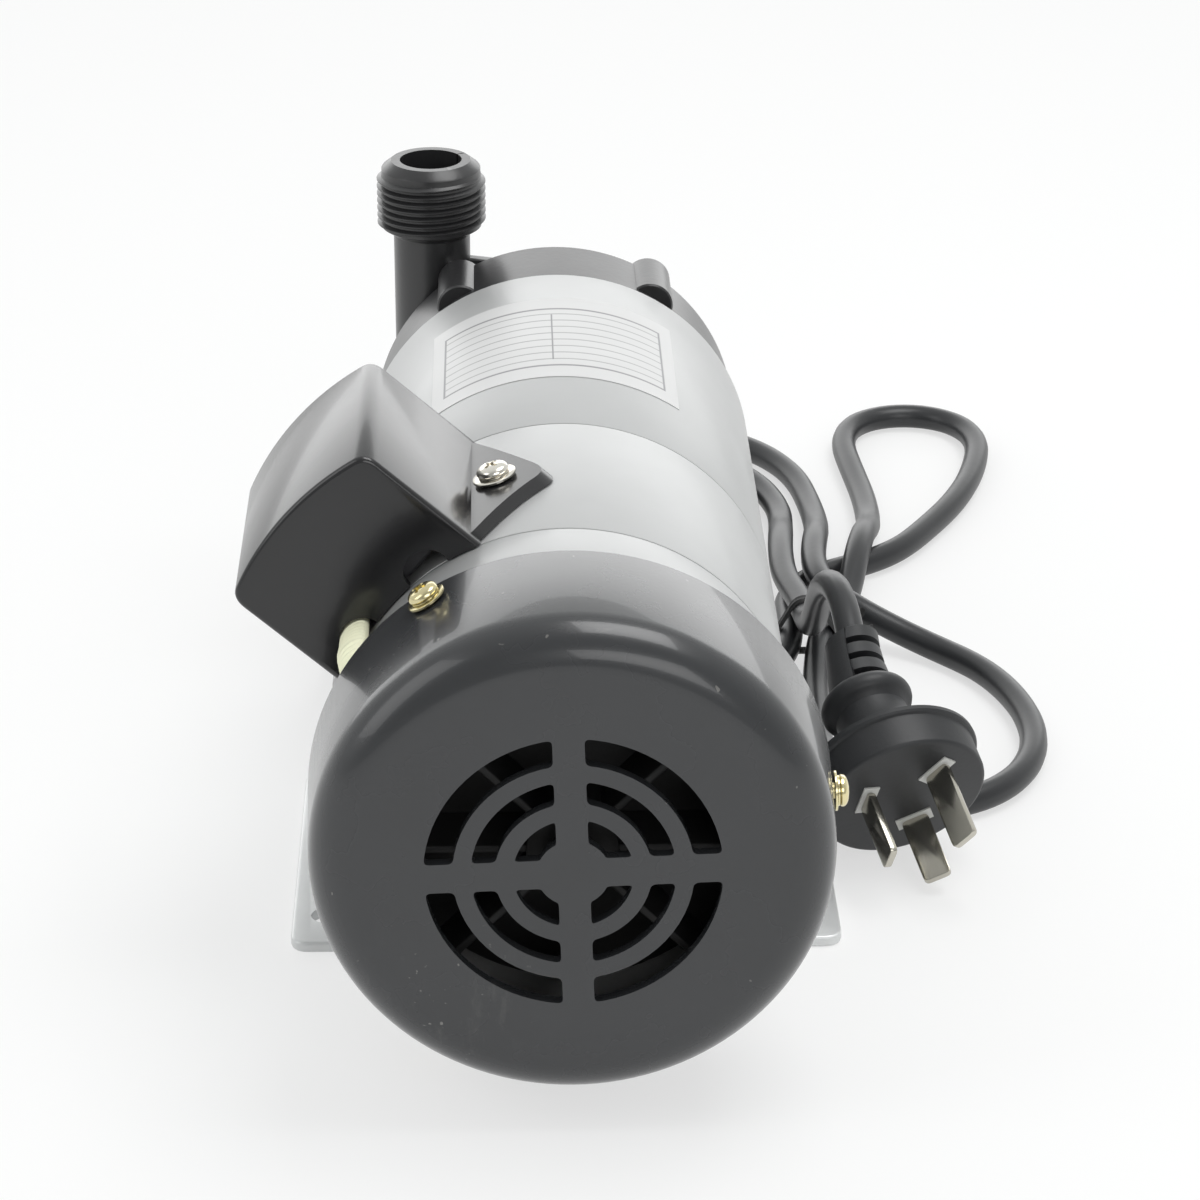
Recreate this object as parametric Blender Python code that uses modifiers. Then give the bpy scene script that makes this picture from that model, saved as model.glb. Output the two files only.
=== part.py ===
"""Magnetic drive pump: a capacitor motor on a foot, its terminal box, and a sealed pump head
whose impeller is turned through the wall of a can by a ring of drive magnets.

Frame: +X right, +Y from the fan cover towards the pump head, +Z up. The origin is on the foot's
underside, below the motor axis and at the middle of the foot's length.
"""

import math

import bmesh
import bpy
import numpy as np
from mathutils import Euler, Matrix, Vector
from mathutils.geometry import convex_hull_2d

MM = 0.001
GAP = 0.3 * MM
AXIS_HEIGHT = 58.0 * MM
ROUND = 32

# Motor housing
BODY_RADIUS = 46.0 * MM
HOUSING_WALL = 3.4 * MM
COVER_FACE_Y = -112.0 * MM
COVER_LENGTH = 35.0 * MM
COVER_FRONT_RADIUS = 50.8 * MM
COVER_REAR_RADIUS = 51.85 * MM
COVER_EDGE_FILLET = 9.0 * MM
COVER_WALL = 2.2 * MM
COVER_FACE_WALL = 2.4 * MM
SLOT_RINGS = ((7.0 * MM, 11.54 * MM), (14.98 * MM, 19.59 * MM), (23.04 * MM, 28.56 * MM))
SLOT_BAR = 6.1 * MM
SLOT_TURN = math.radians(-2.0)
SLOT_CORNER = 1.0 * MM
SLOT_POINTS = 4
BELL_SETBACK = 28.0 * MM
REAR_BELL_LENGTH = 30.7 * MM
STATOR_SHELL_LENGTH = 55.5 * MM
FRONT_BELL_LENGTH = 93.5 * MM
BELL_PLATE = 3.5 * MM
DIAPHRAGM_SETBACK = 21.2 * MM
VENT_COUNT = 6
VENT_RADIUS = 5.0 * MM
VENT_CIRCLE = 30.0 * MM

# Motor inside
BEARING_OUTER = 13.0 * MM
BEARING_INNER = 5.3 * MM
BEARING_WIDTH = 8.0 * MM
RACE_WALL = 1.9 * MM
BALL_COUNT = 7
BEARING_LIP = 1.2 * MM
BEARING_BOSS_WALL = 3.6 * MM
SHAFT_MID_RADIUS = 6.0 * MM
SHAFT_BEARING_RADIUS = 5.0 * MM
SHAFT_END_RADIUS = 4.0 * MM
CORE_SETBACK = 7.0 * MM
CORE_LENGTH = 41.0 * MM
CORE_BORE = 23.0 * MM
CORE_SLOTS = 12
CORE_SLOT_WIDTH = 3.4 * MM
CORE_SLOT_ROOT = 34.5 * MM
WINDING_INNER = 27.0 * MM
WINDING_OUTER = 37.5 * MM
WINDING_OVERHANG = 11.0 * MM
ROTOR_AIR_GAP = 0.6 * MM
CAGE_OUTER = 21.0 * MM
CAGE_INNER = 13.0 * MM
CAGE_THICKNESS = 4.0 * MM
CAGE_BARS = 8
CAGE_BAR_CIRCLE = 18.5 * MM
CAGE_BAR_RADIUS = 1.6 * MM
TIE_BOLT_CIRCLE = 40.0 * MM
TIE_BOLT_RADIUS = 1.8 * MM
FAN_RADIUS = 36.5 * MM
FAN_HUB_RADIUS = 9.0 * MM
FAN_DEPTH = 15.0 * MM
FAN_BLADES = 8
FAN_BLADE_WALL = 1.6 * MM
FAN_PLATE = 1.6 * MM
FAN_CLEARANCE = 2.4 * MM

# Magnetic coupling
YOKE_RADIUS = 31.0 * MM
YOKE_WALL = 3.0 * MM
YOKE_PLATE = 4.0 * MM
YOKE_HUB_RADIUS = 9.0 * MM
YOKE_HUB_LENGTH = 19.0 * MM
YOKE_LENGTH = 57.0 * MM
DRIVE_MAGNET_WALL = 3.5 * MM
DRIVE_MAGNET_LENGTH = 38.0 * MM
DRIVE_MAGNET_SPAN = math.radians(80.0)
DRIVE_MAGNETS = 4
CAN_CLEARANCE = 3.0 * MM

# Pump head
HEAD_RADIUS = 43.7 * MM
REAR_FLANGE = 4.4 * MM
CAN_OUTER = 22.6 * MM
CAN_WALL = 1.8 * MM
CAN_END = 2.2 * MM
DISH_OUTER = 35.4 * MM
DISH_WALL = 2.2 * MM
DISH_PLATE = 3.0 * MM
DISH_DEPTH = 25.0 * MM
SPIGOT_LENGTH = 3.6 * MM
SKIRT_LENGTH = 21.7 * MM
O_RING_SECTION = 1.25 * MM
NOSE_RADIUS = 39.6 * MM
NOSE_LENGTH = 22.0 * MM
NOSE_FILLET = 8.0 * MM
CHAMBER_RADIUS = 31.0 * MM
CHAMBER_DEPTH = 14.0 * MM
EYE_RADIUS = 10.0 * MM
EYE_DEPTH = 10.7 * MM
SPINDLE_RADIUS = 3.5 * MM
SPINDLE_SOCKET = 6.0 * MM
SPIDER_HUB_RADIUS = 5.6 * MM
SPIDER_RIB = 2.0 * MM
SPIDER_LENGTH = 8.9 * MM
WASHER_RADIUS = 7.0 * MM
WASHER_THICKNESS = 1.5 * MM
PORT_BORE = 7.5 * MM
PORT_RIM = 9.6 * MM
PORT_RING = 12.0 * MM
PORT_THREAD_CORE = 12.1 * MM
PORT_THREAD_LENGTH = 13.4 * MM
PORT_CHAMFER = 2.0 * MM
PORT_PLAIN = 1.5 * MM
PORT_NECK = 9.3 * MM
INLET_LENGTH = 38.0 * MM
OUTLET_X = -29.6 * MM
OUTLET_RISE = 61.9 * MM
GUSSET_WALL = 3.0 * MM
CASING_BOSS_ANGLES = (57.0, 123.0, 237.0, 303.0)
CASING_SCREW_CIRCLE = 41.4 * MM
CASING_SCREW_RADIUS = 1.9 * MM
CASING_BOSS_RADIUS = 5.5 * MM
CASING_BOSS_LENGTH = 19.0 * MM
CASING_LUG_DEPTH = 12.0 * MM
SPOT_FACE = 0.4 * MM

# Impeller
CAPSULE_RADIUS = 19.6 * MM
CAPSULE_SKIN = 1.0 * MM
IMPELLER_RADIUS = 26.8 * MM
IMPELLER_DISC = 2.4 * MM
IMPELLER_NECK = 13.0 * MM
IMPELLER_HUB = 8.5 * MM
VANE_COUNT = 6
VANE_WALL = 1.8 * MM
MAGNET_BORE = 11.0 * MM
MAGNET_CAP = 2.6 * MM
BUSH_RADIUS = 5.0 * MM

# Terminal box
BOX_ANGLE = math.radians(138.6)
BOX_HALF_WIDTH = 20.75 * MM
BOX_CORNER_HEIGHT = 71.3 * MM
BOX_CROWN_HEIGHT = 75.0 * MM
BOX_Y = -54.5 * MM
BOX_LENGTH = 52.5 * MM
BOX_WALL = 2.2 * MM
BOX_EDGE = 2.5 * MM
EAR_THICKNESS = 2.3 * MM
EAR_TIP_ANGLE = math.radians(40.1)
EAR_SCREW_ANGLE = math.radians(31.4)
NOTCH_RADIUS = 4.8 * MM
NOTCH_OFFSETS = (-9.5 * MM, 10.3 * MM)
GLAND_HEIGHT = 58.0 * MM
GLAND_RADIUS = 6.2 * MM
GLAND_COLLAR_RADIUS = 8.2 * MM
GLAND_TAIL_RADIUS = 4.2 * MM
GLAND_LENGTH = 22.0 * MM
SMALL_SCREW_RADIUS = 1.6 * MM
SMALL_HEAD_RADIUS = 3.2 * MM
SMALL_HEAD_HEIGHT = 2.2 * MM
SMALL_WASHER_RADIUS = 4.0 * MM
SMALL_WASHER_HEIGHT = 0.8 * MM
COVER_SCREW_ANGLES = (2.0, 122.0, 242.0)
COVER_SCREW_SETBACK = 29.5 * MM
COVER_BOSS_RADIUS = 4.2 * MM

# Foot
FOOT_WIDTH = 118.0 * MM
FOOT_LENGTH = 80.0 * MM
FOOT_PLATE = 2.5 * MM
FOOT_CORNER = 3.0 * MM
FOOT_WEB_INNER = 14.0 * MM
FOOT_WEB = 3.0 * MM
SADDLE_THICKNESS = 2.7 * MM
SADDLE_HALF_ANGLE = math.radians(32.0)
FOOT_SLOT_X = 50.0 * MM
FOOT_SLOT_Y = 28.0 * MM
FOOT_SLOT_WIDTH = 6.5 * MM
FOOT_SLOT_LENGTH = 10.0 * MM
FOOT_SCREW_ANGLE = math.radians(27.0)
FOOT_SCREW_Y = -20.0 * MM

# Mains lead and plug
CORD_RADIUS = 3.3 * MM
CORD_STEP = 23.0 * MM
CORD_STUB = 6.0 * MM
CORD_FLOOR = 3.65 * MM
TIE_Y = 103.0 * MM
TIE_WIDTH = 3.4 * MM
TIE_THICKNESS = 0.8 * MM
TIE_SLACK = 1.2 * MM
TIE_REACH = (50.0 * MM, 72.0 * MM)
PLUG_FACE = Vector((75.9, -4.5, 19.7)) * MM
PLUG_AZIMUTH = math.radians(12.0)
PLUG_TILT = math.radians(24.0)
PLUG_ROLL = math.radians(23.0)
PLUG_RADIUS = 17.3 * MM
PLUG_DISC = 9.0 * MM
PLUG_NECK_RADIUS = 9.5 * MM
PLUG_COLLAR_RADIUS = 10.6 * MM
PLUG_TAIL_RADIUS = 6.6 * MM
PLUG_LENGTH = 50.0 * MM
PIN_WIDTH = 6.3 * MM
PIN_THICKNESS = 1.63 * MM
PIN_LENGTH = 17.1 * MM
EARTH_PIN_LENGTH = 20.0 * MM
PIN_SPREAD = 7.92 * MM
PIN_DROP = 4.2 * MM
EARTH_PIN_RISE = 10.3 * MM
PIN_LEAN = math.radians(30.0)

# Stations along the axis, each worked out from the piece before it
REAR_BELL_Y = COVER_FACE_Y + BELL_SETBACK
STATOR_SHELL_Y = REAR_BELL_Y + REAR_BELL_LENGTH + GAP
FRONT_BELL_Y = STATOR_SHELL_Y + STATOR_SHELL_LENGTH + GAP
FRONT_BELL_END = FRONT_BELL_Y + FRONT_BELL_LENGTH
REAR_BEARING_Y = REAR_BELL_Y + BELL_PLATE + BEARING_LIP
DIAPHRAGM_Y = FRONT_BELL_Y + DIAPHRAGM_SETBACK
FRONT_BEARING_Y = DIAPHRAGM_Y + BELL_PLATE + GAP
CORE_Y = STATOR_SHELL_Y + CORE_SETBACK
FAN_Y = REAR_BELL_Y - FAN_CLEARANCE - FAN_PLATE - FAN_DEPTH
REAR_CASING_Y = FRONT_BELL_END + GAP
FRONT_CASING_Y = REAR_CASING_Y + REAR_FLANGE + GAP
DISH_FRONT_Y = REAR_CASING_Y + REAR_FLANGE + DISH_DEPTH
NOSE_Y = FRONT_CASING_Y + SKIRT_LENGTH
NOSE_FRONT_Y = NOSE_Y + NOSE_LENGTH
CHAMBER_Y = DISH_FRONT_Y + GAP
CHAMBER_END = CHAMBER_Y + CHAMBER_DEPTH
PORT_Y = CHAMBER_Y + CHAMBER_DEPTH / 2 + 1.7 * MM
INLET_Y = NOSE_FRONT_Y + INLET_LENGTH
YOKE_DISC_Y = FRONT_BEARING_Y + BEARING_WIDTH + 8.0 * MM + YOKE_HUB_LENGTH
CAN_Y = YOKE_DISC_Y + YOKE_PLATE + CAN_CLEARANCE
SPINDLE_BOSS_END = CAN_Y + CAN_END + SPINDLE_SOCKET + 0.8 * MM
REAR_WASHER_Y = SPINDLE_BOSS_END + GAP
IMPELLER_Y = REAR_WASHER_Y + WASHER_THICKNESS + GAP
CAPSULE_Y = IMPELLER_Y + MAGNET_CAP + GAP
CAPSULE_END = DISH_FRONT_Y - 1.0 * MM
DISC_Y = DISH_FRONT_Y + 1.0 * MM
VANE_Y = DISC_Y + IMPELLER_DISC
IMPELLER_END = CHAMBER_END - 1.3 * MM
FRONT_WASHER_Y = IMPELLER_END + GAP
SPIDER_Y = FRONT_WASHER_Y + WASHER_THICKNESS + GAP
CORE_OUTER = BODY_RADIUS - HOUSING_WALL + 0.7 * MM - GAP


def clear_scene():
    for obj in list(bpy.data.objects):
        bpy.data.objects.remove(obj, do_unlink=True)


def collection(name):
    made = bpy.data.collections.new(name)
    bpy.context.scene.collection.children.link(made)
    return made


def material(name, colour, roughness, metallic=0.0):
    made = bpy.data.materials.new(name)
    made.use_nodes = True
    shader = made.node_tree.nodes["Principled BSDF"]
    shader.inputs["Base Color"].default_value = (*colour, 1.0)
    shader.inputs["Roughness"].default_value = roughness
    shader.inputs["Metallic"].default_value = metallic
    return made


# Shape tools

def mesh_of(obj):
    """Return the mesh that an object's modifiers or curve give, and remove the object."""
    bpy.context.view_layer.update()
    graph = bpy.context.evaluated_depsgraph_get()
    mesh = bpy.data.meshes.new_from_object(obj.evaluated_get(graph))
    mesh.transform(obj.matrix_world)
    bpy.data.objects.remove(obj, do_unlink=True)
    tidy = bmesh.new()
    tidy.from_mesh(mesh)
    bmesh.ops.remove_doubles(tidy, verts=tidy.verts, dist=0.00001)
    tidy.to_mesh(mesh)
    tidy.free()
    return mesh


def loose_object(data):
    obj = bpy.data.objects.new("draft", data)
    bpy.context.scene.collection.objects.link(obj)
    return obj


def turned(profile, steps=24):
    """Turn an (axial, radial) profile about the local Z axis with a Screw modifier.

    A profile that starts and ends on the axis stays open there, and any other is a closed ring.
    """
    points = [(radial, axial) for axial, radial in profile]
    turn = sum(a[0] * b[1] - b[0] * a[1] for a, b in zip(points, points[1:] + points[:1]))
    if turn > 0:
        points.reverse()
    count = len(points)
    on_axis = points[0][0] == 0.0 and points[-1][0] == 0.0
    edges = [(i, (i + 1) % count) for i in range(count - 1 if on_axis else count)]
    mesh = bpy.data.meshes.new("profile")
    mesh.from_pydata([(r, 0.0, z) for r, z in points], edges, [])
    obj = loose_object(mesh)
    screw = obj.modifiers.new("turn", "SCREW")
    screw.angle = 2 * math.pi
    screw.steps = steps
    screw.render_steps = steps
    screw.use_merge_vertices = True
    screw.merge_threshold = 0.00001
    return mesh_of(obj)


def tube_ring(y0, y1, inner, outer, steps=24):
    return turned([(y0, inner), (y0, outer), (y1, outer), (y1, inner)], steps)


def rod(y0, y1, radius, steps=16):
    return turned([(y0, 0.0), (y0, radius), (y1, radius), (y1, 0.0)], steps)


def block(size, centre=(0.0, 0.0, 0.0), bevel=0.0, segments=2):
    mesh = bpy.data.meshes.new("block")
    shape = bmesh.new()
    bmesh.ops.create_cube(shape, size=1.0)
    bmesh.ops.scale(shape, vec=size, verts=shape.verts)
    if bevel:
        bmesh.ops.bevel(shape, geom=shape.edges[:], offset=bevel, segments=segments, affect="EDGES", profile=0.5)
    bmesh.ops.translate(shape, vec=centre, verts=shape.verts)
    shape.to_mesh(mesh)
    shape.free()
    return mesh


def slab(outlines, thickness):
    """Give closed (x, y) outlines a thickness about the local XY plane; an inner outline is a hole."""
    curve = bpy.data.curves.new("outline", "CURVE")
    curve.dimensions = "2D"
    curve.fill_mode = "BOTH"
    curve.extrude = thickness / 2
    for outline in outlines:
        spline = curve.splines.new("POLY")
        spline.points.add(len(outline) - 1)
        for point, (x, y) in zip(spline.points, outline):
            point.co = (x, y, 0.0, 1.0)
        spline.use_cyclic_u = True
    return mesh_of(loose_object(curve))


def arc(centre, radius, start, end, count):
    angles = np.linspace(start, end, count)
    return [(centre[0] + radius * math.cos(a), centre[1] + radius * math.sin(a)) for a in angles]


def rounded(corners, radius, count=4):
    """Round each corner of a closed outline with an arc of the given radius."""
    outline = []
    for i, corner in enumerate(corners):
        here = Vector(corner)
        back = (Vector(corners[i - 1]) - here).normalized()
        ahead = (Vector(corners[(i + 1) % len(corners)]) - here).normalized()
        half = back.angle(ahead) / 2
        reach = radius / math.tan(half)
        centre = here + (back + ahead).normalized() * (radius / math.sin(half))
        first = here + back * reach - centre
        sweep = math.pi - 2 * half
        side = 1.0 if back.x * ahead.y - back.y * ahead.x < 0 else -1.0
        for k in range(count + 1):
            turn = Matrix.Rotation(side * sweep * k / count, 2)
            outline.append(tuple(centre + turn @ first))
    return outline


def pipe(points, radius, resolution=3):
    curve = bpy.data.curves.new("pipe", "CURVE")
    curve.dimensions = "3D"
    curve.bevel_depth = radius
    curve.bevel_resolution = resolution
    curve.use_fill_caps = True
    spline = curve.splines.new("POLY")
    spline.points.add(len(points) - 1)
    for point, place in zip(spline.points, points):
        point.co = (*place, 1.0)
    return mesh_of(loose_object(curve))


def joined(meshes):
    """Put several meshes in one, as they lie."""
    merged = bmesh.new()
    for mesh in meshes:
        merged.from_mesh(mesh)
    result = bpy.data.meshes.new("group")
    merged.to_mesh(result)
    merged.free()
    return result


def moved(mesh, matrix):
    copy = mesh.copy()
    copy.transform(matrix)
    return copy


def along_axis():
    """Lay the local Z axis along +Y at the motor axis' height."""
    return Matrix.Translation((0.0, 0.0, AXIS_HEIGHT)) @ Euler((-math.pi / 2, 0.0, 0.0)).to_matrix().to_4x4()


def polar(circle, angle, y=0.0):
    """A place beside the motor axis, at an angle taken from +X towards +Z."""
    return Vector((circle * math.cos(angle), y, AXIS_HEIGHT + circle * math.sin(angle)))


def radial_out(angle, y, circle=0.0):
    """Lay the local Z axis outwards from the motor axis, at an angle from +X towards +Z."""
    turn = Matrix.Rotation(math.pi / 2 - angle, 4, "Y")
    return Matrix.Translation(polar(circle, angle, y)) @ turn


class Workshop:
    """Keeps the pump's pieces and the shapes that cut them in their two collections."""

    def __init__(self):
        self.parts = collection("magnetic_drive_pump")
        self.cutters = collection("cutters")
        self.rotor_axis = self.empty("rotor_axis")
        self.impeller_axis = self.empty("impeller_axis")

    def empty(self, name):
        made = bpy.data.objects.new(name, None)
        made.location = (0.0, 0.0, AXIS_HEIGHT)
        made.hide_render = True
        self.parts.objects.link(made)
        return made

    def part(self, name, mesh, finish, parent=None):
        mesh.name = name
        mesh.materials.clear()
        mesh.materials.append(finish)
        obj = bpy.data.objects.new(name, mesh)
        self.parts.objects.link(obj)
        if parent:
            self.hang(obj, parent)
        mesh.shade_smooth()
        mesh.set_sharp_from_angle(angle=math.radians(35.0))
        return obj

    def copies(self, name, mesh, places, finish, parent=None):
        """Set one shape at several places, each as a numbered piece of its own."""
        for number, place in enumerate(places, 1):
            self.part(f"{name}_{number}", moved(mesh, place), finish, parent)

    def tool(self, name, mesh):
        obj = bpy.data.objects.new(name, mesh)
        obj.hide_render = True
        obj.display_type = "WIRE"
        self.cutters.objects.link(obj)
        return obj

    def hang(self, obj, parent):
        """Parent a piece to its joint's axis, where it stays as it lies."""
        obj.parent = parent
        obj.matrix_parent_inverse = Matrix.Translation(-parent.location)
        return obj

    def boolean(self, obj, name, mesh, operation="DIFFERENCE"):
        change = obj.modifiers.new(name, "BOOLEAN")
        change.operation = operation
        change.solver = "EXACT"
        change.object = self.tool(f"{obj.name}_{name}", mesh)
        return obj


# Motor housing

def fan_slots():
    """Arc slots in four quadrants between the bars of a cross."""
    half = SLOT_BAR / 2
    shapes = []
    for inner, outer in SLOT_RINGS:
        start, end = math.asin(half / outer), math.acos(half / outer)
        outline = arc((0.0, 0.0), outer, start, end, SLOT_POINTS)
        outline += arc((0.0, 0.0), inner, math.acos(half / inner), math.asin(half / inner), SLOT_POINTS)
        corners = (0, SLOT_POINTS - 1, SLOT_POINTS, 2 * SLOT_POINTS - 1)
        shape = bmesh.new()
        verts = [shape.verts.new((x, y, 0.0)) for x, y in outline]
        shape.faces.new(verts)
        bmesh.ops.bevel(shape, geom=[verts[i] for i in corners], offset=SLOT_CORNER, segments=1, affect="VERTICES")
        flat = shape.faces[:]
        raised = bmesh.ops.extrude_face_region(shape, geom=flat)
        lifted = [item for item in raised["geom"] if isinstance(item, bmesh.types.BMVert)]
        bmesh.ops.translate(shape, vec=(0.0, 0.0, COVER_FACE_WALL * 3), verts=lifted)
        bmesh.ops.recalc_face_normals(shape, faces=shape.faces[:])
        mesh = bpy.data.meshes.new("slot")
        shape.to_mesh(mesh)
        shape.free()
        for quadrant in range(4):
            shapes.append(moved(mesh, Matrix.Rotation(SLOT_TURN + quadrant * math.pi / 2, 4, "Z")))
    lift = Matrix.Translation((0.0, 0.0, COVER_FACE_Y - COVER_FACE_WALL))
    return moved(joined(shapes), along_axis() @ lift)


def fan_cover(shop, finish):
    rear = COVER_FACE_Y + COVER_LENGTH
    edge = COVER_FRONT_RADIUS - COVER_EDGE_FILLET
    centre = COVER_FACE_Y + COVER_EDGE_FILLET
    outer = [(COVER_FACE_Y, 0.0)]
    outer += [(y, r) for y, r in arc((centre, edge), COVER_EDGE_FILLET, math.pi, math.pi / 2, 5)]
    outer.append((rear, COVER_REAR_RADIUS))
    inner = [(rear, COVER_REAR_RADIUS - COVER_WALL)]
    inner += arc((centre, edge), COVER_EDGE_FILLET - COVER_WALL, math.pi / 2, math.pi, 3)[:-1]
    inner += [(COVER_FACE_Y + COVER_FACE_WALL, edge), (COVER_FACE_Y + COVER_FACE_WALL, 0.0)]
    cover = shop.part("fan_cover", moved(turned(outer + inner, ROUND), along_axis()), finish)
    shop.boolean(cover, "slots", fan_slots())
    shop.boolean(cover, "screw_holes", cover_screw_shapes(SMALL_SCREW_RADIUS + GAP))
    return cover


def cover_screw_shapes(radius):
    y = COVER_FACE_Y + COVER_SCREW_SETBACK
    shank = rod(BODY_RADIUS - 2.0 * MM, COVER_REAR_RADIUS + 2.0 * MM, radius, 8)
    return joined([moved(shank, radial_out(math.radians(a), y)) for a in COVER_SCREW_ANGLES])


def pan_screw(seat, depth, radius=SMALL_SCREW_RADIUS):
    """A pan-head screw with its washer, whose washer rests at the seat and whose shank goes below it."""
    washer = seat + SMALL_WASHER_HEIGHT
    top = washer + SMALL_HEAD_HEIGHT
    profile = [(seat - depth, 0.0), (seat - depth, radius), (seat, radius), (seat, SMALL_WASHER_RADIUS),
               (washer, SMALL_WASHER_RADIUS), (washer, SMALL_HEAD_RADIUS)]
    profile += [(top - 1.0 * MM, SMALL_HEAD_RADIUS), (top, SMALL_HEAD_RADIUS * 0.6), (top, 0.0)]
    return turned(profile, 8)


def cover_screws(shop, finish):
    y = COVER_FACE_Y + COVER_SCREW_SETBACK
    slope = (COVER_REAR_RADIUS - COVER_FRONT_RADIUS) / (COVER_LENGTH - COVER_EDGE_FILLET)
    reach = COVER_REAR_RADIUS - slope * (COVER_LENGTH - COVER_SCREW_SETBACK) + GAP + 0.1 * MM
    screw = pan_screw(reach, 6.0 * MM)
    shop.copies("cover_screw", screw, [radial_out(math.radians(a), y) for a in COVER_SCREW_ANGLES], finish)


def bolt_angles():
    return [math.radians(45.0 + 90.0 * k) for k in range(4)]


def bolt_places(circle, angles):
    """Places on a bolt circle, each with its local Z axis along the motor."""
    return [along_axis() @ Matrix.Translation((circle * math.cos(a), -circle * math.sin(a), 0.0)) for a in angles]


def bolt_holes(y0, y1, circle, radius, angles, steps=10):
    hole = rod(y0, y1, radius, steps)
    return joined([moved(hole, place) for place in bolt_places(circle, angles)])


def rear_end_bell(shop, finish):
    end = REAR_BELL_Y + REAR_BELL_LENGTH
    plate = REAR_BELL_Y + BELL_PLATE
    boss_end = REAR_BEARING_Y + BEARING_WIDTH
    bore = BEARING_OUTER + GAP
    shaft_hole = SHAFT_BEARING_RADIUS + 1.5 * MM
    profile = [(REAR_BELL_Y, shaft_hole), (REAR_BELL_Y, BODY_RADIUS), (end, BODY_RADIUS),
               (end, BODY_RADIUS - HOUSING_WALL), (plate, BODY_RADIUS - HOUSING_WALL),
               (plate, bore + BEARING_BOSS_WALL), (boss_end, bore + BEARING_BOSS_WALL), (boss_end, bore),
               (plate, bore), (plate, shaft_hole)]
    bell = shop.part("rear_end_bell", moved(turned(profile, ROUND), along_axis()), finish)
    y = COVER_FACE_Y + COVER_SCREW_SETBACK
    inner_cover = COVER_REAR_RADIUS - COVER_WALL - 1.0 * MM
    boss = rod(BODY_RADIUS - 2.0 * MM, inner_cover, COVER_BOSS_RADIUS, 12)
    bosses = joined([moved(boss, radial_out(math.radians(a), y)) for a in COVER_SCREW_ANGLES])
    shop.boolean(bell, "bosses", bosses, "UNION")
    shop.boolean(bell, "boss_holes", cover_screw_shapes(SMALL_SCREW_RADIUS + GAP))
    vents = [2 * math.pi * k / VENT_COUNT for k in range(VENT_COUNT)]
    through = (REAR_BELL_Y - 1.0 * MM, plate + 1.0 * MM)
    shop.boolean(bell, "vents", bolt_holes(*through, VENT_CIRCLE, VENT_RADIUS, vents, 10))
    shop.boolean(bell, "bolt_holes", bolt_holes(*through, TIE_BOLT_CIRCLE, TIE_BOLT_RADIUS + GAP, bolt_angles()))
    shop.boolean(bell, "lead_hole", sleeve_shape(GAP))
    return bell


def stator_shell(shop, finish):
    inner = CORE_OUTER + GAP
    ring = tube_ring(STATOR_SHELL_Y, STATOR_SHELL_Y + STATOR_SHELL_LENGTH, inner, BODY_RADIUS, ROUND)
    shell = shop.part("stator_shell", moved(ring, along_axis()), finish)
    shop.boolean(shell, "screw_holes", joined([body_screw_holes(), foot_screw_holes()]))
    return shell


def front_end_bell(shop, finish):
    wall = BODY_RADIUS - HOUSING_WALL
    plate_end = DIAPHRAGM_Y + BELL_PLATE
    boss_end = FRONT_BEARING_Y + BEARING_WIDTH + BEARING_LIP
    bore = BEARING_OUTER + GAP
    shaft_hole = SHAFT_MID_RADIUS + 1.0 * MM
    profile = [(FRONT_BELL_Y, wall), (FRONT_BELL_Y, BODY_RADIUS), (FRONT_BELL_END, BODY_RADIUS),
               (FRONT_BELL_END, wall), (plate_end, wall), (plate_end, bore + BEARING_BOSS_WALL),
               (boss_end, bore + BEARING_BOSS_WALL), (boss_end, bore), (plate_end, bore),
               (plate_end, shaft_hole), (DIAPHRAGM_Y, shaft_hole), (DIAPHRAGM_Y, wall)]
    bell = shop.part("front_end_bell", moved(turned(profile, ROUND), along_axis()), finish)
    inner = DISH_OUTER + GAP
    depth = BODY_RADIUS - 1.0 * MM - inner
    lug = block((depth, 2 * CASING_BOSS_RADIUS, CASING_LUG_DEPTH), (inner + depth / 2, 0.0, 0.0))
    lift = Matrix.Translation((0.0, 0.0, FRONT_BELL_END - CASING_LUG_DEPTH / 2 - 0.01 * MM))
    turns = [Matrix.Rotation(-math.radians(a), 4, "Z") for a in CASING_BOSS_ANGLES]
    lugs = moved(joined([moved(lug, lift @ turn) for turn in turns]), along_axis())
    shop.boolean(bell, "lugs", lugs, "UNION")
    angles = [math.radians(a) for a in CASING_BOSS_ANGLES]
    first = FRONT_BELL_END - CASING_LUG_DEPTH - 1.0 * MM
    last = FRONT_BELL_END + 1.0 * MM
    radius = CASING_SCREW_RADIUS + GAP
    shop.boolean(bell, "screw_holes", bolt_holes(first, last, CASING_SCREW_CIRCLE, radius, angles))
    through = (DIAPHRAGM_Y - 1.0 * MM, plate_end + 1.0 * MM)
    shop.boolean(bell, "bolt_holes", bolt_holes(*through, TIE_BOLT_CIRCLE, TIE_BOLT_RADIUS + GAP, bolt_angles()))
    return bell


def motor_tie_bolts(shop, finish):
    head = REAR_BELL_Y - GAP
    end = DIAPHRAGM_Y + BELL_PLATE
    profile = [(head - 2.0 * MM, 0.0), (head - 2.0 * MM, TIE_BOLT_RADIUS + 1.3 * MM),
               (head, TIE_BOLT_RADIUS + 1.3 * MM), (head, TIE_BOLT_RADIUS), (end, TIE_BOLT_RADIUS), (end, 0.0)]
    shop.copies("motor_tie_bolt", turned(profile, 10), bolt_places(TIE_BOLT_CIRCLE, bolt_angles()), finish)


# Motor inside

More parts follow.
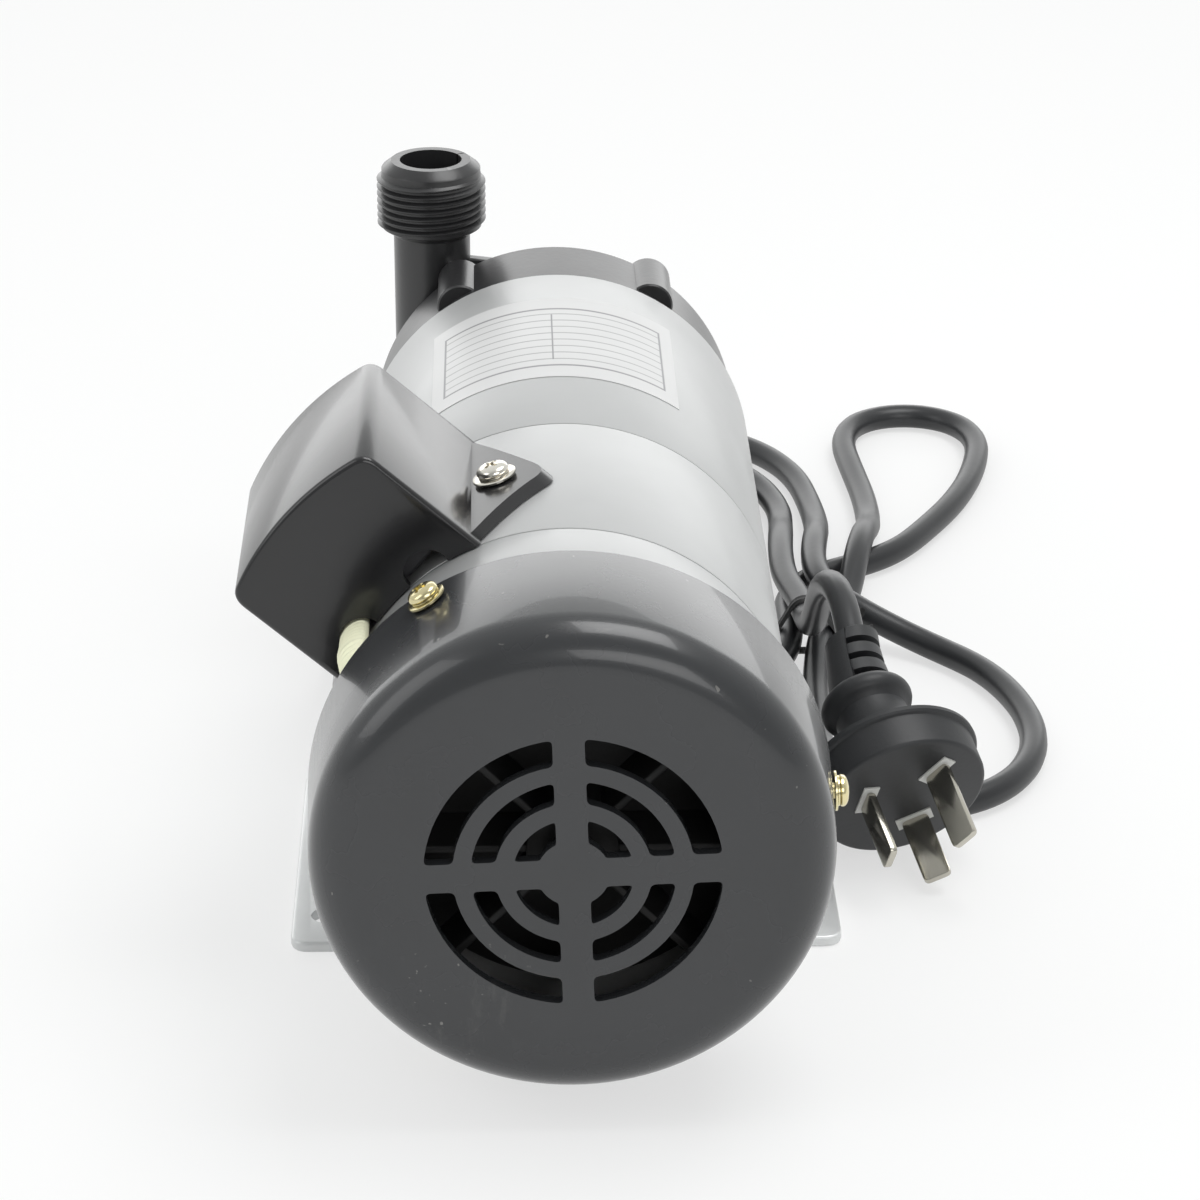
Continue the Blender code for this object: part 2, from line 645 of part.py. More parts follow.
def slot_bars(width, inner, outer, y0, y1):
    bar = block((outer - inner, width, y1 - y0), ((inner + outer) / 2, 0.0, (y0 + y1) / 2))
    turns = [Matrix.Rotation(2 * math.pi * k / CORE_SLOTS, 4, "Z") for k in range(CORE_SLOTS)]
    return moved(joined([moved(bar, turn) for turn in turns]), along_axis())


def stator_core(shop, finish):
    end = CORE_Y + CORE_LENGTH
    core = shop.part("stator_core", moved(tube_ring(CORE_Y, end, CORE_BORE, CORE_OUTER, ROUND), along_axis()), finish)
    margin = 1.0 * MM
    bars = slot_bars(CORE_SLOT_WIDTH, CORE_BORE - margin, CORE_SLOT_ROOT, CORE_Y - margin, end + margin)
    shop.boolean(core, "slots", bars)
    notches = bolt_holes(CORE_Y - margin, end + margin, TIE_BOLT_CIRCLE, TIE_BOLT_RADIUS + 2 * GAP, bolt_angles())
    shop.boolean(core, "bolt_notches", notches)
    return core


def stator_windings(shop, finish):
    end = CORE_Y + CORE_LENGTH
    first = tube_ring(CORE_Y - GAP - WINDING_OVERHANG, CORE_Y - GAP, WINDING_INNER, WINDING_OUTER, 24)
    last = tube_ring(end + GAP, end + GAP + WINDING_OVERHANG, WINDING_INNER, WINDING_OUTER, 24)
    rings = moved(joined([first, last]), along_axis())
    coil = shop.part("stator_windings", rings, finish)
    width = CORE_SLOT_WIDTH - 2 * GAP
    outer = CORE_SLOT_ROOT - GAP
    inner = WINDING_INNER - 1.5 * MM
    bars = slot_bars(width, inner, outer, CORE_Y - 2.0 * MM, end + 2.0 * MM)
    shop.boolean(coil, "slot_bars", bars, "UNION")
    return coil


def rotor(shop, steel, aluminium):
    radius = CORE_BORE - ROTOR_AIR_GAP
    end = CORE_Y + CORE_LENGTH
    bore = SHAFT_MID_RADIUS + GAP
    turns = [2 * math.pi * k / CAGE_BARS for k in range(CAGE_BARS)]
    core = shop.part("rotor_core", moved(tube_ring(CORE_Y, end, bore, radius, 24), along_axis()), steel)
    slots = bolt_holes(CORE_Y - 1.0 * MM, end + 1.0 * MM, CAGE_BAR_CIRCLE, CAGE_BAR_RADIUS + GAP, turns, 8)
    shop.boolean(core, "bar_slots", slots)
    shop.hang(core, shop.rotor_axis)
    first = tube_ring(CORE_Y - GAP - CAGE_THICKNESS, CORE_Y - GAP, CAGE_INNER, CAGE_OUTER, 20)
    last = tube_ring(end + GAP, end + GAP + CAGE_THICKNESS, CAGE_INNER, CAGE_OUTER, 20)
    cage = shop.part("rotor_cage", moved(joined([first, last]), along_axis()), aluminium)
    bars = bolt_holes(CORE_Y - 2.0 * MM, end + 2.0 * MM, CAGE_BAR_CIRCLE, CAGE_BAR_RADIUS, turns, 8)
    shop.boolean(cage, "bars", bars, "UNION")
    shop.hang(cage, shop.rotor_axis)


def motor_shaft(shop, finish):
    fan_end = FAN_Y - 0.6 * MM
    shoulder = REAR_BEARING_Y + BEARING_WIDTH + GAP
    front_shoulder = FRONT_BEARING_Y - GAP
    neck = FRONT_BEARING_Y + BEARING_WIDTH + 1.0 * MM
    end = YOKE_DISC_Y + YOKE_PLATE / 2
    profile = [(fan_end, 0.0), (fan_end, SHAFT_END_RADIUS), (REAR_BELL_Y, SHAFT_END_RADIUS),
               (REAR_BELL_Y, SHAFT_BEARING_RADIUS), (shoulder, SHAFT_BEARING_RADIUS),
               (shoulder, SHAFT_MID_RADIUS), (front_shoulder, SHAFT_MID_RADIUS),
               (front_shoulder, SHAFT_BEARING_RADIUS), (neck, SHAFT_BEARING_RADIUS),
               (neck, SHAFT_END_RADIUS), (end, SHAFT_END_RADIUS), (end, 0.0)]
    return shop.part("motor_shaft", moved(turned(profile, 18), along_axis()), finish, shop.rotor_axis)


def bearing(shop, prefix, y, finish):
    """A ball bearing: an outer race, an inner race on the shaft and the ring of balls between."""
    end = y + BEARING_WIDTH
    outer = tube_ring(y, end, BEARING_OUTER - RACE_WALL, BEARING_OUTER, 24)
    shop.part(f"{prefix}_bearing_outer_race", moved(outer, along_axis()), finish)
    inner = tube_ring(y, end, BEARING_INNER, BEARING_INNER + RACE_WALL, 18)
    shop.part(f"{prefix}_bearing_inner_race", moved(inner, along_axis()), finish, shop.rotor_axis)
    track = (BEARING_OUTER - RACE_WALL + BEARING_INNER + RACE_WALL) / 2
    ball_radius = (BEARING_OUTER - BEARING_INNER - 2 * RACE_WALL) / 2 - 0.25 * MM
    ball = bmesh.new()
    bmesh.ops.create_icosphere(ball, subdivisions=1, radius=ball_radius)
    mesh = bpy.data.meshes.new("ball")
    ball.to_mesh(mesh)
    ball.free()
    middle = y + BEARING_WIDTH / 2
    turns = [2 * math.pi * k / BALL_COUNT for k in range(BALL_COUNT)]
    cage = tube_ring(middle - 0.6 * MM, middle + 0.6 * MM, track - 0.7 * MM, track + 0.7 * MM, 2 * BALL_COUNT)
    caged = shop.part(f"{prefix}_bearing_balls", moved(cage, along_axis()), finish)
    balls = joined([moved(mesh, Matrix.Translation(polar(track, a, middle))) for a in turns])
    shop.boolean(caged, "balls", balls, "UNION")


def cooling_fan(shop, finish):
    plate = FAN_Y + FAN_DEPTH
    hub = [(FAN_Y, SHAFT_END_RADIUS + GAP), (FAN_Y, FAN_HUB_RADIUS), (plate, FAN_HUB_RADIUS),
           (plate, FAN_RADIUS), (plate + FAN_PLATE, FAN_RADIUS), (plate + FAN_PLATE, SHAFT_END_RADIUS + GAP)]
    fan = shop.part("cooling_fan", moved(turned(hub, 24), along_axis()), finish)
    length = FAN_RADIUS - FAN_HUB_RADIUS + 0.5 * MM
    centre = (FAN_HUB_RADIUS + length / 2 - 0.8 * MM, 0.0, FAN_Y + FAN_DEPTH / 2 + 1.0 * MM)
    blade = block((length, FAN_BLADE_WALL, FAN_DEPTH), centre)
    turns = [Matrix.Rotation(2 * math.pi * k / FAN_BLADES, 4, "Z") for k in range(FAN_BLADES)]
    blades = moved(joined([moved(blade, turn) for turn in turns]), along_axis())
    shop.boolean(fan, "blades", blades, "UNION")
    return shop.hang(fan, shop.rotor_axis)


# Magnetic coupling

def drive_coupling(shop, steel, ferrite, screw_steel):
    hub_start = YOKE_DISC_Y - YOKE_HUB_LENGTH
    face = YOKE_DISC_Y + YOKE_PLATE
    end = YOKE_DISC_Y + YOKE_LENGTH
    bore = SHAFT_END_RADIUS + GAP
    inner = YOKE_RADIUS - YOKE_WALL
    profile = [(hub_start, bore), (hub_start, YOKE_HUB_RADIUS), (YOKE_DISC_Y, YOKE_HUB_RADIUS),
               (YOKE_DISC_Y, YOKE_RADIUS), (end, YOKE_RADIUS), (end, inner), (face, inner), (face, bore)]
    yoke = shop.part("drive_magnet_yoke", moved(turned(profile, 28), along_axis()), steel)
    screw_y = hub_start + YOKE_HUB_LENGTH * 0.35
    up = radial_out(math.pi / 2, screw_y)
    hole = moved(rod(bore - 1.0 * MM, YOKE_HUB_RADIUS + 1.0 * MM, 1.5 * MM + GAP, 12), up)
    shop.boolean(yoke, "set_screw_hole", hole)
    shop.hang(yoke, shop.rotor_axis)
    screw = moved(rod(bore, YOKE_HUB_RADIUS - 0.4 * MM, 1.5 * MM, 10), up)
    shop.part("hub_set_screw", screw, screw_steel, shop.rotor_axis)
    outer_face = inner - GAP
    inner_face = outer_face - DRIVE_MAGNET_WALL
    start, stop = -DRIVE_MAGNET_SPAN / 2, DRIVE_MAGNET_SPAN / 2
    outline = arc((0.0, 0.0), outer_face, start, stop, 9) + arc((0.0, 0.0), inner_face, stop, start, 9)
    magnet = slab([outline], DRIVE_MAGNET_LENGTH)
    lift = Matrix.Translation((0.0, 0.0, end - 2.0 * MM - DRIVE_MAGNET_LENGTH / 2))
    turns = [Matrix.Rotation(2 * math.pi * k / DRIVE_MAGNETS, 4, "Z") for k in range(DRIVE_MAGNETS)]
    places = [along_axis() @ lift @ turn for turn in turns]
    shop.copies("drive_magnet", magnet, places, ferrite, shop.rotor_axis)


# Pump head

def rear_casing(shop, finish):
    flange_end = REAR_CASING_Y + REAR_FLANGE
    dish_inner = DISH_OUTER - DISH_WALL
    can_inner = CAN_OUTER - CAN_WALL
    web = DISH_FRONT_Y - DISH_PLATE
    spigot = REAR_CASING_Y - SPIGOT_LENGTH
    socket = SPINDLE_RADIUS + GAP
    floor = CAN_Y + CAN_END
    profile = [(CAN_Y, 0.0), (CAN_Y, CAN_OUTER), (web, CAN_OUTER), (web, dish_inner), (spigot, dish_inner),
               (spigot, DISH_OUTER), (REAR_CASING_Y, DISH_OUTER), (REAR_CASING_Y, HEAD_RADIUS),
               (flange_end, HEAD_RADIUS), (flange_end, DISH_OUTER), (DISH_FRONT_Y, DISH_OUTER),
               (DISH_FRONT_Y, can_inner), (floor, can_inner), (floor, socket + 2.0 * MM),
               (SPINDLE_BOSS_END, socket + 2.0 * MM), (SPINDLE_BOSS_END, socket),
               (floor + 0.8 * MM, socket), (floor + 0.8 * MM, 0.0)]
    casing = shop.part("rear_casing", moved(turned(profile, ROUND), along_axis()), finish)
    angles = [math.radians(a) for a in CASING_BOSS_ANGLES]
    through = (REAR_CASING_Y - 1.0 * MM, flange_end + 1.0 * MM)
    radius = CASING_SCREW_RADIUS + GAP
    shop.boolean(casing, "screw_holes", bolt_holes(*through, CASING_SCREW_CIRCLE, radius, angles))
    return casing


def port_profile(start, end, root):
    """The outer side of a threaded port, from its root to its rim; the thread is a plain core here."""
    ring = end - PORT_CHAMFER
    thread_end = ring - PORT_PLAIN
    thread = thread_end - PORT_THREAD_LENGTH
    return [(start, root), (thread - 2.5 * MM, root), (thread, PORT_THREAD_CORE), (thread_end, PORT_THREAD_CORE),
            (thread_end, PORT_RING), (ring, PORT_RING), (end, PORT_RIM)]


def front_casing(shop, finish):
    """The volute casing: a skirt over the rear casing's dish, the nose, two threaded ports and bosses."""
    corner = arc((NOSE_FRONT_Y - NOSE_FILLET, NOSE_RADIUS - NOSE_FILLET - 2.5 * MM), NOSE_FILLET,
                 math.pi / 2, 0.0, 4)
    outer = [(FRONT_CASING_Y, 0.0), (FRONT_CASING_Y, HEAD_RADIUS), (NOSE_Y, HEAD_RADIUS),
             (NOSE_Y, NOSE_RADIUS)] + corner + [(NOSE_FRONT_Y, 14.0 * MM)]
    outer += port_profile(NOSE_FRONT_Y + 2.0 * MM, INLET_Y, PORT_THREAD_CORE - 1.0 * MM) + [(INLET_Y, 0.0)]
    casing = shop.part("front_casing", moved(turned(outer, ROUND), along_axis()), finish)

    riser = [(0.0, 0.0)] + port_profile(0.0, OUTLET_RISE, PORT_NECK) + [(OUTLET_RISE, 0.0)]
    at_port = Matrix.Translation((OUTLET_X, PORT_Y, AXIS_HEIGHT))
    shop.boolean(casing, "outlet", moved(turned(riser, 20), at_port), "UNION")

    web = [(OUTLET_X + 4.0 * MM, 15.0 * MM), (-9.0 * MM, 15.0 * MM), (-9.0 * MM, 35.6 * MM),
           (OUTLET_X + 4.0 * MM, 37.6 * MM)]
    stand = Matrix.Translation((0.0, PORT_Y, AXIS_HEIGHT)) @ Matrix.Rotation(math.pi / 2, 4, "X")
    shop.boolean(casing, "gusset", moved(slab([web], GUSSET_WALL), stand), "UNION")

    angles = [math.radians(a) for a in CASING_BOSS_ANGLES]
    boss_start = NOSE_Y + 1.0 * MM - CASING_BOSS_LENGTH
    bosses = bolt_holes(boss_start, NOSE_Y + 1.0 * MM, CASING_SCREW_CIRCLE, CASING_BOSS_RADIUS, angles, 12)
    shop.boolean(casing, "bosses", bosses, "UNION")

    skirt = DISH_OUTER + GAP
    rebate = DISH_OUTER + 2 * O_RING_SECTION + 2 * GAP
    rebate_end = FRONT_CASING_Y + 2 * O_RING_SECTION + GAP
    hollow = [(FRONT_CASING_Y - 2.0 * MM, 0.0), (FRONT_CASING_Y - 2.0 * MM, rebate), (rebate_end, rebate),
              (rebate_end, skirt), (CHAMBER_Y, skirt), (CHAMBER_Y, CHAMBER_RADIUS),
              (CHAMBER_END, CHAMBER_RADIUS), (CHAMBER_END, EYE_RADIUS), (CHAMBER_END + EYE_DEPTH, EYE_RADIUS),
              (CHAMBER_END + EYE_DEPTH, PORT_BORE), (INLET_Y + 2.0 * MM, PORT_BORE), (INLET_Y + 2.0 * MM, 0.0)]
    shop.boolean(casing, "hollow", moved(turned(hollow, ROUND), along_axis()))
    shop.boolean(casing, "outlet_bore", moved(rod(-2.0 * MM, OUTLET_RISE + 2.0 * MM, PORT_BORE, 16), at_port))

    through = (FRONT_CASING_Y - 1.0 * MM, NOSE_Y + 3.0 * MM)
    hole = CASING_SCREW_RADIUS + GAP
    shop.boolean(casing, "screw_holes", bolt_holes(*through, CASING_SCREW_CIRCLE, hole, angles))
    head = (NOSE_Y + 1.0 * MM - SPOT_FACE, NOSE_FRONT_Y + 1.0 * MM)
    shop.boolean(casing, "head_room", bolt_holes(*head, CASING_SCREW_CIRCLE, SMALL_WASHER_RADIUS + GAP, angles))

    hub = tube_ring(SPIDER_Y, SPIDER_Y + SPIDER_LENGTH, SPINDLE_RADIUS + GAP, SPIDER_HUB_RADIUS, 16)
    rib_length = EYE_RADIUS - SPIDER_HUB_RADIUS + 1.6 * MM
    rib_centre = (SPIDER_HUB_RADIUS - 0.6 * MM + rib_length / 2, 0.0, CHAMBER_END + EYE_DEPTH / 2)
    rib = block((rib_length, SPIDER_RIB, SPIDER_LENGTH - 3.0 * MM), rib_centre)
    turns = [Matrix.Rotation(math.pi / 2 + 2 * math.pi * k / 3, 4, "Z") for k in range(3)]
    shop.boolean(casing, "spider_ribs", moved(joined([moved(rib, t) for t in turns]), along_axis()), "UNION")
    shop.boolean(casing, "spider_hub", moved(hub, along_axis()), "UNION")
    return casing


def casing_screws(shop, finish):
    seat = NOSE_Y + 1.0 * MM - SPOT_FACE + GAP
    screw = pan_screw(seat, seat - (FRONT_BELL_END - CASING_LUG_DEPTH), CASING_SCREW_RADIUS)
    angles = [math.radians(a) for a in CASING_BOSS_ANGLES]
    shop.copies("casing_screw", screw, bolt_places(CASING_SCREW_CIRCLE, angles), finish)


def casing_o_ring(shop, finish):
    middle = DISH_OUTER + GAP + O_RING_SECTION
    centre = FRONT_CASING_Y + O_RING_SECTION
    ring = turned(arc((centre, middle), O_RING_SECTION, 0.0, 2 * math.pi, 7)[:-1], 24)
    return shop.part("casing_o_ring", moved(ring, along_axis()), finish)


def spindle_parts(shop, ceramic, washer_finish):
    start = CAN_Y + CAN_END + 0.8 * MM + GAP
    end = SPIDER_Y + SPIDER_LENGTH - 1.0 * MM
    shop.part("ceramic_spindle", moved(rod(start, end, SPINDLE_RADIUS, 16), along_axis()), ceramic)
    inner = SPINDLE_RADIUS + GAP
    for name, y in (("rear_thrust_washer", REAR_WASHER_Y), ("front_thrust_washer", FRONT_WASHER_Y)):
        ring = tube_ring(y, y + WASHER_THICKNESS, inner, WASHER_RADIUS, 16)
        shop.part(name, moved(ring, along_axis()), washer_finish)


def impeller_parts(shop, plastic, ferrite, carbon):
    bore = BUSH_RADIUS + GAP
    skin = CAPSULE_RADIUS - CAPSULE_SKIN
    tube = MAGNET_BORE - GAP
    web = CAPSULE_END - 3.4 * MM
    profile = [(CAPSULE_Y, bore), (CAPSULE_Y, tube), (web, tube), (web, skin), (CAPSULE_Y, skin),
               (CAPSULE_Y, CAPSULE_RADIUS), (CAPSULE_END, CAPSULE_RADIUS), (CAPSULE_END, IMPELLER_NECK),
               (DISC_Y, IMPELLER_NECK), (DISC_Y, IMPELLER_RADIUS), (VANE_Y, IMPELLER_RADIUS),
               (VANE_Y, IMPELLER_HUB + 2.5 * MM), (VANE_Y + 6.0 * MM, IMPELLER_HUB), (IMPELLER_END, IMPELLER_HUB),
               (IMPELLER_END, bore)]
    impeller = shop.part("impeller", moved(turned(profile, 24), along_axis()), plastic)
    depth = IMPELLER_END - VANE_Y
    lift = Matrix.Translation((0.0, 0.0, VANE_Y + depth / 2 - 0.3 * MM))
    blade = moved(slab([vane_outline()], depth), lift)
    turns = [Matrix.Rotation(2 * math.pi * k / VANE_COUNT, 4, "Z") for k in range(VANE_COUNT)]
    shop.boolean(impeller, "vanes", moved(joined([moved(blade, t) for t in turns]), along_axis()), "UNION")
    shop.hang(impeller, shop.impeller_axis)

    magnet = tube_ring(CAPSULE_Y + GAP, web - GAP, MAGNET_BORE, skin - GAP, 24)
    shop.part("impeller_magnet", moved(magnet, along_axis()), ferrite, shop.impeller_axis)
    cap = tube_ring(IMPELLER_Y, IMPELLER_Y + MAGNET_CAP, bore, CAPSULE_RADIUS, 24)
    shop.part("magnet_cap", moved(cap, along_axis()), plastic, shop.impeller_axis)
    bush = tube_ring(IMPELLER_Y + 0.2 * MM, IMPELLER_END - 0.2 * MM, SPINDLE_RADIUS + GAP, BUSH_RADIUS, 16)
    shop.part("impeller_bush", moved(bush, along_axis()), carbon, shop.impeller_axis)


def vane_outline():
    """A vane swept back by a spiral: the angle grows with the logarithm of the radius."""
    first, last = IMPELLER_HUB - 0.8 * MM, IMPELLER_RADIUS - 0.4 * MM
    radii = np.linspace(first, last, 6)
    angles = 0.75 * np.log(radii / first)
    half = VANE_WALL / 2 / radii
    ahead = [(r * math.cos(a + h), r * math.sin(a + h)) for r, a, h in zip(radii, angles, half)]
    behind = [(r * math.cos(a - h), r * math.sin(a - h)) for r, a, h in zip(radii, angles, half)]
    return behind + ahead[::-1]


# Terminal box

def box_frame():
    """Local X across the box, local Y outwards along its centre line, local Z along the motor."""
    across = Vector((-math.sin(BOX_ANGLE), 0.0, math.cos(BOX_ANGLE)))
    outward = Vector((math.cos(BOX_ANGLE), 0.0, math.sin(BOX_ANGLE)))
    along = across.cross(outward)
    frame = Matrix((across, outward, along)).transposed().to_4x4()
    return Matrix.Translation((0.0, 0.0, AXIS_HEIGHT)) @ frame


def box_place(across, outward, y):
    return box_frame() @ Vector((across, outward, 0.0)) + Vector((0.0, y, 0.0))


def box_outline(inset):
    """The box's end view: straight sides and a crowned lid with rounded corners."""
    half = BOX_HALF_WIDTH - inset
    corner, crown = BOX_CORNER_HEIGHT - inset, BOX_CROWN_HEIGHT - inset
    rise = crown - corner
    radius = (half * half + rise * rise) / (2 * rise)
    spread = math.asin(half / radius)
    lid = arc((0.0, crown - radius), radius, math.pi / 2 - spread, math.pi / 2 + spread, 9)
    lid = [(x * (1 - 0.035 * (abs(x) > 0.99 * half)), y - 0.9 * MM * (abs(x) > 0.99 * half)) for x, y in lid]
    sides = [(-half, corner - 2.4 * MM), (-half, 36.0 * MM), (half, 36.0 * MM), (half, corner - 2.4 * MM)]
    return lid + sides


def box_solid(inset, y0, y1, edge=0.0):
    mesh = slab([box_outline(inset)], y1 - y0)
    if edge:
        shape = bmesh.new()
        shape.from_mesh(mesh)
        rims = [e for e in shape.edges if e.calc_face_angle(0.0) > 1.2]
        bmesh.ops.bevel(shape, geom=rims, offset=edge, segments=2, affect="EDGES", profile=0.5)
        shape.to_mesh(mesh)
        shape.free()
    place = Matrix.Translation((0.0, (y0 + y1) / 2, 0.0)) @ box_frame()
    return moved(mesh, place)


def ear_prism(side):
    """A triangle with a rounded tip, seen from outside, which the ear is cut to."""
    tip = (BODY_RADIUS + EAR_THICKNESS) * math.sin(EAR_TIP_ANGLE)
    root = BOX_HALF_WIDTH - 1.0 * MM
    half = BOX_LENGTH / 2 - 0.4 * MM
    outline = rounded([(side * root, -half), (side * (tip + 3.0 * MM), 0.0), (side * root, half)], 3.4 * MM, 4)
    middle = BOX_Y + BOX_LENGTH / 2
    frame = box_frame() @ Matrix.Rotation(-math.pi / 2, 4, "X")
    lift = Matrix.Translation((0.0, middle, 0.0))
    up = Matrix.Translation((0.0, 0.0, 40.0 * MM))
    return moved(slab([outline], 30.0 * MM), lift @ frame @ up)


def terminal_box_cover(shop, finish):
    seat = BODY_RADIUS + GAP
    end = BOX_Y + BOX_LENGTH
    cover = shop.part("terminal_box_cover", box_solid(0.0, BOX_Y, end, BOX_EDGE), finish)
    shop.boolean(cover, "hollow", box_solid(BOX_WALL, BOX_Y + BOX_WALL, end - BOX_WALL))
    for name, side in (("right", 1.0), ("left", -1.0)):
        ring = tube_ring(BOX_Y, end, seat, seat + EAR_THICKNESS, ROUND)
        ear = shop.tool(f"ear_{name}", moved(ring, along_axis()))
        shop.boolean(ear, "outline", ear_prism(side), "INTERSECT")
        cut = cover.modifiers.new(f"ear_{name}", "BOOLEAN")
        cut.operation = "UNION"
        cut.object = ear
    shop.boolean(cover, "body", moved(rod(BOX_Y - 5.0 * MM, end + 5.0 * MM, seat, ROUND), along_axis()))
    notch = rod(-6.0 * MM, 6.0 * MM, NOTCH_RADIUS, 16)
    notches = [moved(notch, notch_place(offset) @ Matrix.Rotation(-math.pi / 2, 4, "X")) for offset in NOTCH_OFFSETS]
    shop.boolean(cover, "notches", joined(notches))
    hole = rod(-6.0 * MM, 6.0 * MM, GLAND_RADIUS + GAP, 20)
    at_gland = Matrix.Translation(box_place(0.0, GLAND_HEIGHT, end)) @ Matrix.Rotation(-math.pi / 2, 4, "X")
    shop.boolean(cover, "gland_hole", moved(hole, at_gland))
    shop.boolean(cover, "screw_holes", body_screw_holes())
    return cover


def notch_place(offset):
    return Matrix.Translation(box_place(offset, 45.7 * MM, BOX_Y))


def ear_screw_angles():
    return (BOX_ANGLE - EAR_SCREW_ANGLE, BOX_ANGLE + EAR_SCREW_ANGLE)


def body_screw_holes():
    y = BOX_Y + BOX_LENGTH / 2
    hole = rod(CORE_OUTER - 1.0 * MM, BODY_RADIUS + 6.0 * MM, SMALL_SCREW_RADIUS + GAP, 10)
    return joined([moved(hole, radial_out(a, y)) for a in ear_screw_angles()])


def box_screws(shop, finish):
    y = BOX_Y + BOX_LENGTH / 2
    seat = BODY_RADIUS + GAP + EAR_THICKNESS + GAP
    screw = pan_screw(seat, seat - CORE_OUTER - GAP)
    shop.copies("box_screw", screw, [radial_out(a, y) for a in ear_screw_angles()], finish)


def box_contents(shop, moulding, film):
    floor = BODY_RADIUS + GAP
    place = Matrix.Translation((0.0, BOX_Y + 11.0 * MM, 0.0)) @ box_frame()
    body = block((26.0 * MM, 9.0 * MM, 12.0 * MM), (-2.0 * MM, floor + 4.5 * MM, 0.0), 0.6 * MM, 1)
    block_part = shop.part("terminal_block", moved(body, place), moulding)
    cup = rod(floor + 4.0 * MM, floor + 12.0 * MM, 2.2 * MM, 10)
    cups = [moved(cup, place @ Matrix.Translation((x, 0.0, 0.0)) @ Matrix.Rotation(-math.pi / 2, 4, "X"))
            for x in (-11.0 * MM, -2.0 * MM, 7.0 * MM)]
    shop.boolean(block_part, "screw_cups", joined(cups))
    far = Matrix.Translation((0.0, BOX_Y + 32.0 * MM, 0.0)) @ box_frame()
    case = block((31.0 * MM, 14.5 * MM, 22.0 * MM), (0.0, floor + 7.25 * MM, 0.0), 1.0 * MM, 2)
    shop.part("run_capacitor", moved(case, far), film)


def sleeve_path():
    """The leads' sleeve leaves the box through a notch and dips through the bell's wall."""
    lane = NOTCH_OFFSETS[1] + 0.4 * MM
    height = math.sqrt((BODY_RADIUS + 2.9 * MM) ** 2 - lane * lane)
    inside = BOX_Y + 3.6 * MM
    dip = BOX_Y - 19.0 * MM
    return lane, [(inside, height), (BOX_Y - 3.0 * MM, height), (BOX_Y - 8.0 * MM, height + 0.3 * MM),
                  (dip + 5.0 * MM, height - 0.9 * MM), (dip + 1.6 * MM, height - 3.4 * MM),
                  (dip, height - 7.5 * MM), (dip - 0.4 * MM, height - 10.5 * MM)]


def sleeve_shape(clearance):
    lane, path = sleeve_path()
    points = [(0.0, height, y) for y, height in path]
    mesh = pipe(points, 2.2 * MM + clearance, 2)
    mesh.transform(Matrix.Diagonal((1.75, 1.0, 1.0, 1.0)))
    mesh.transform(Matrix.Translation((lane, 0.0, 0.0)))
    return moved(mesh, box_frame())


def lead_sleeve(shop, finish):
    return shop.part("lead_sleeve", sleeve_shape(0.0), finish)


def cord_gland(shop, finish):
    end = BOX_Y + BOX_LENGTH
    profile = [(-BOX_WALL - 2.0 * MM, 0.0), (-BOX_WALL - 2.0 * MM, GLAND_COLLAR_RADIUS - 1.0 * MM),
               (-BOX_WALL - GAP, GLAND_COLLAR_RADIUS - 1.0 * MM), (-BOX_WALL - GAP, GLAND_RADIUS),
               (GAP, GLAND_RADIUS), (GAP, GLAND_COLLAR_RADIUS), (3.0 * MM, GLAND_COLLAR_RADIUS)]
    rings = 4
    pitch = (GLAND_LENGTH - 4.0 * MM) / rings
    for k in range(rings):
        y = 3.6 * MM + k * pitch
        radius = GLAND_RADIUS + (GLAND_TAIL_RADIUS - GLAND_RADIUS) * (k + 0.5) / rings
        profile += [(y, radius - 0.9 * MM), (y + 0.35 * pitch, radius - 0.9 * MM), (y + 0.45 * pitch, radius),
                    (y + 0.95 * pitch, radius - 0.2 * MM)]
    profile += [(GLAND_LENGTH, GLAND_TAIL_RADIUS - 0.3 * MM), (GLAND_LENGTH, 0.0)]
    place = Matrix.Translation(box_place(0.0, GLAND_HEIGHT, end)) @ Matrix.Rotation(-math.pi / 2, 4, "X")
    return shop.part("cord_gland", moved(turned(profile, 12), place), finish)


# Foot

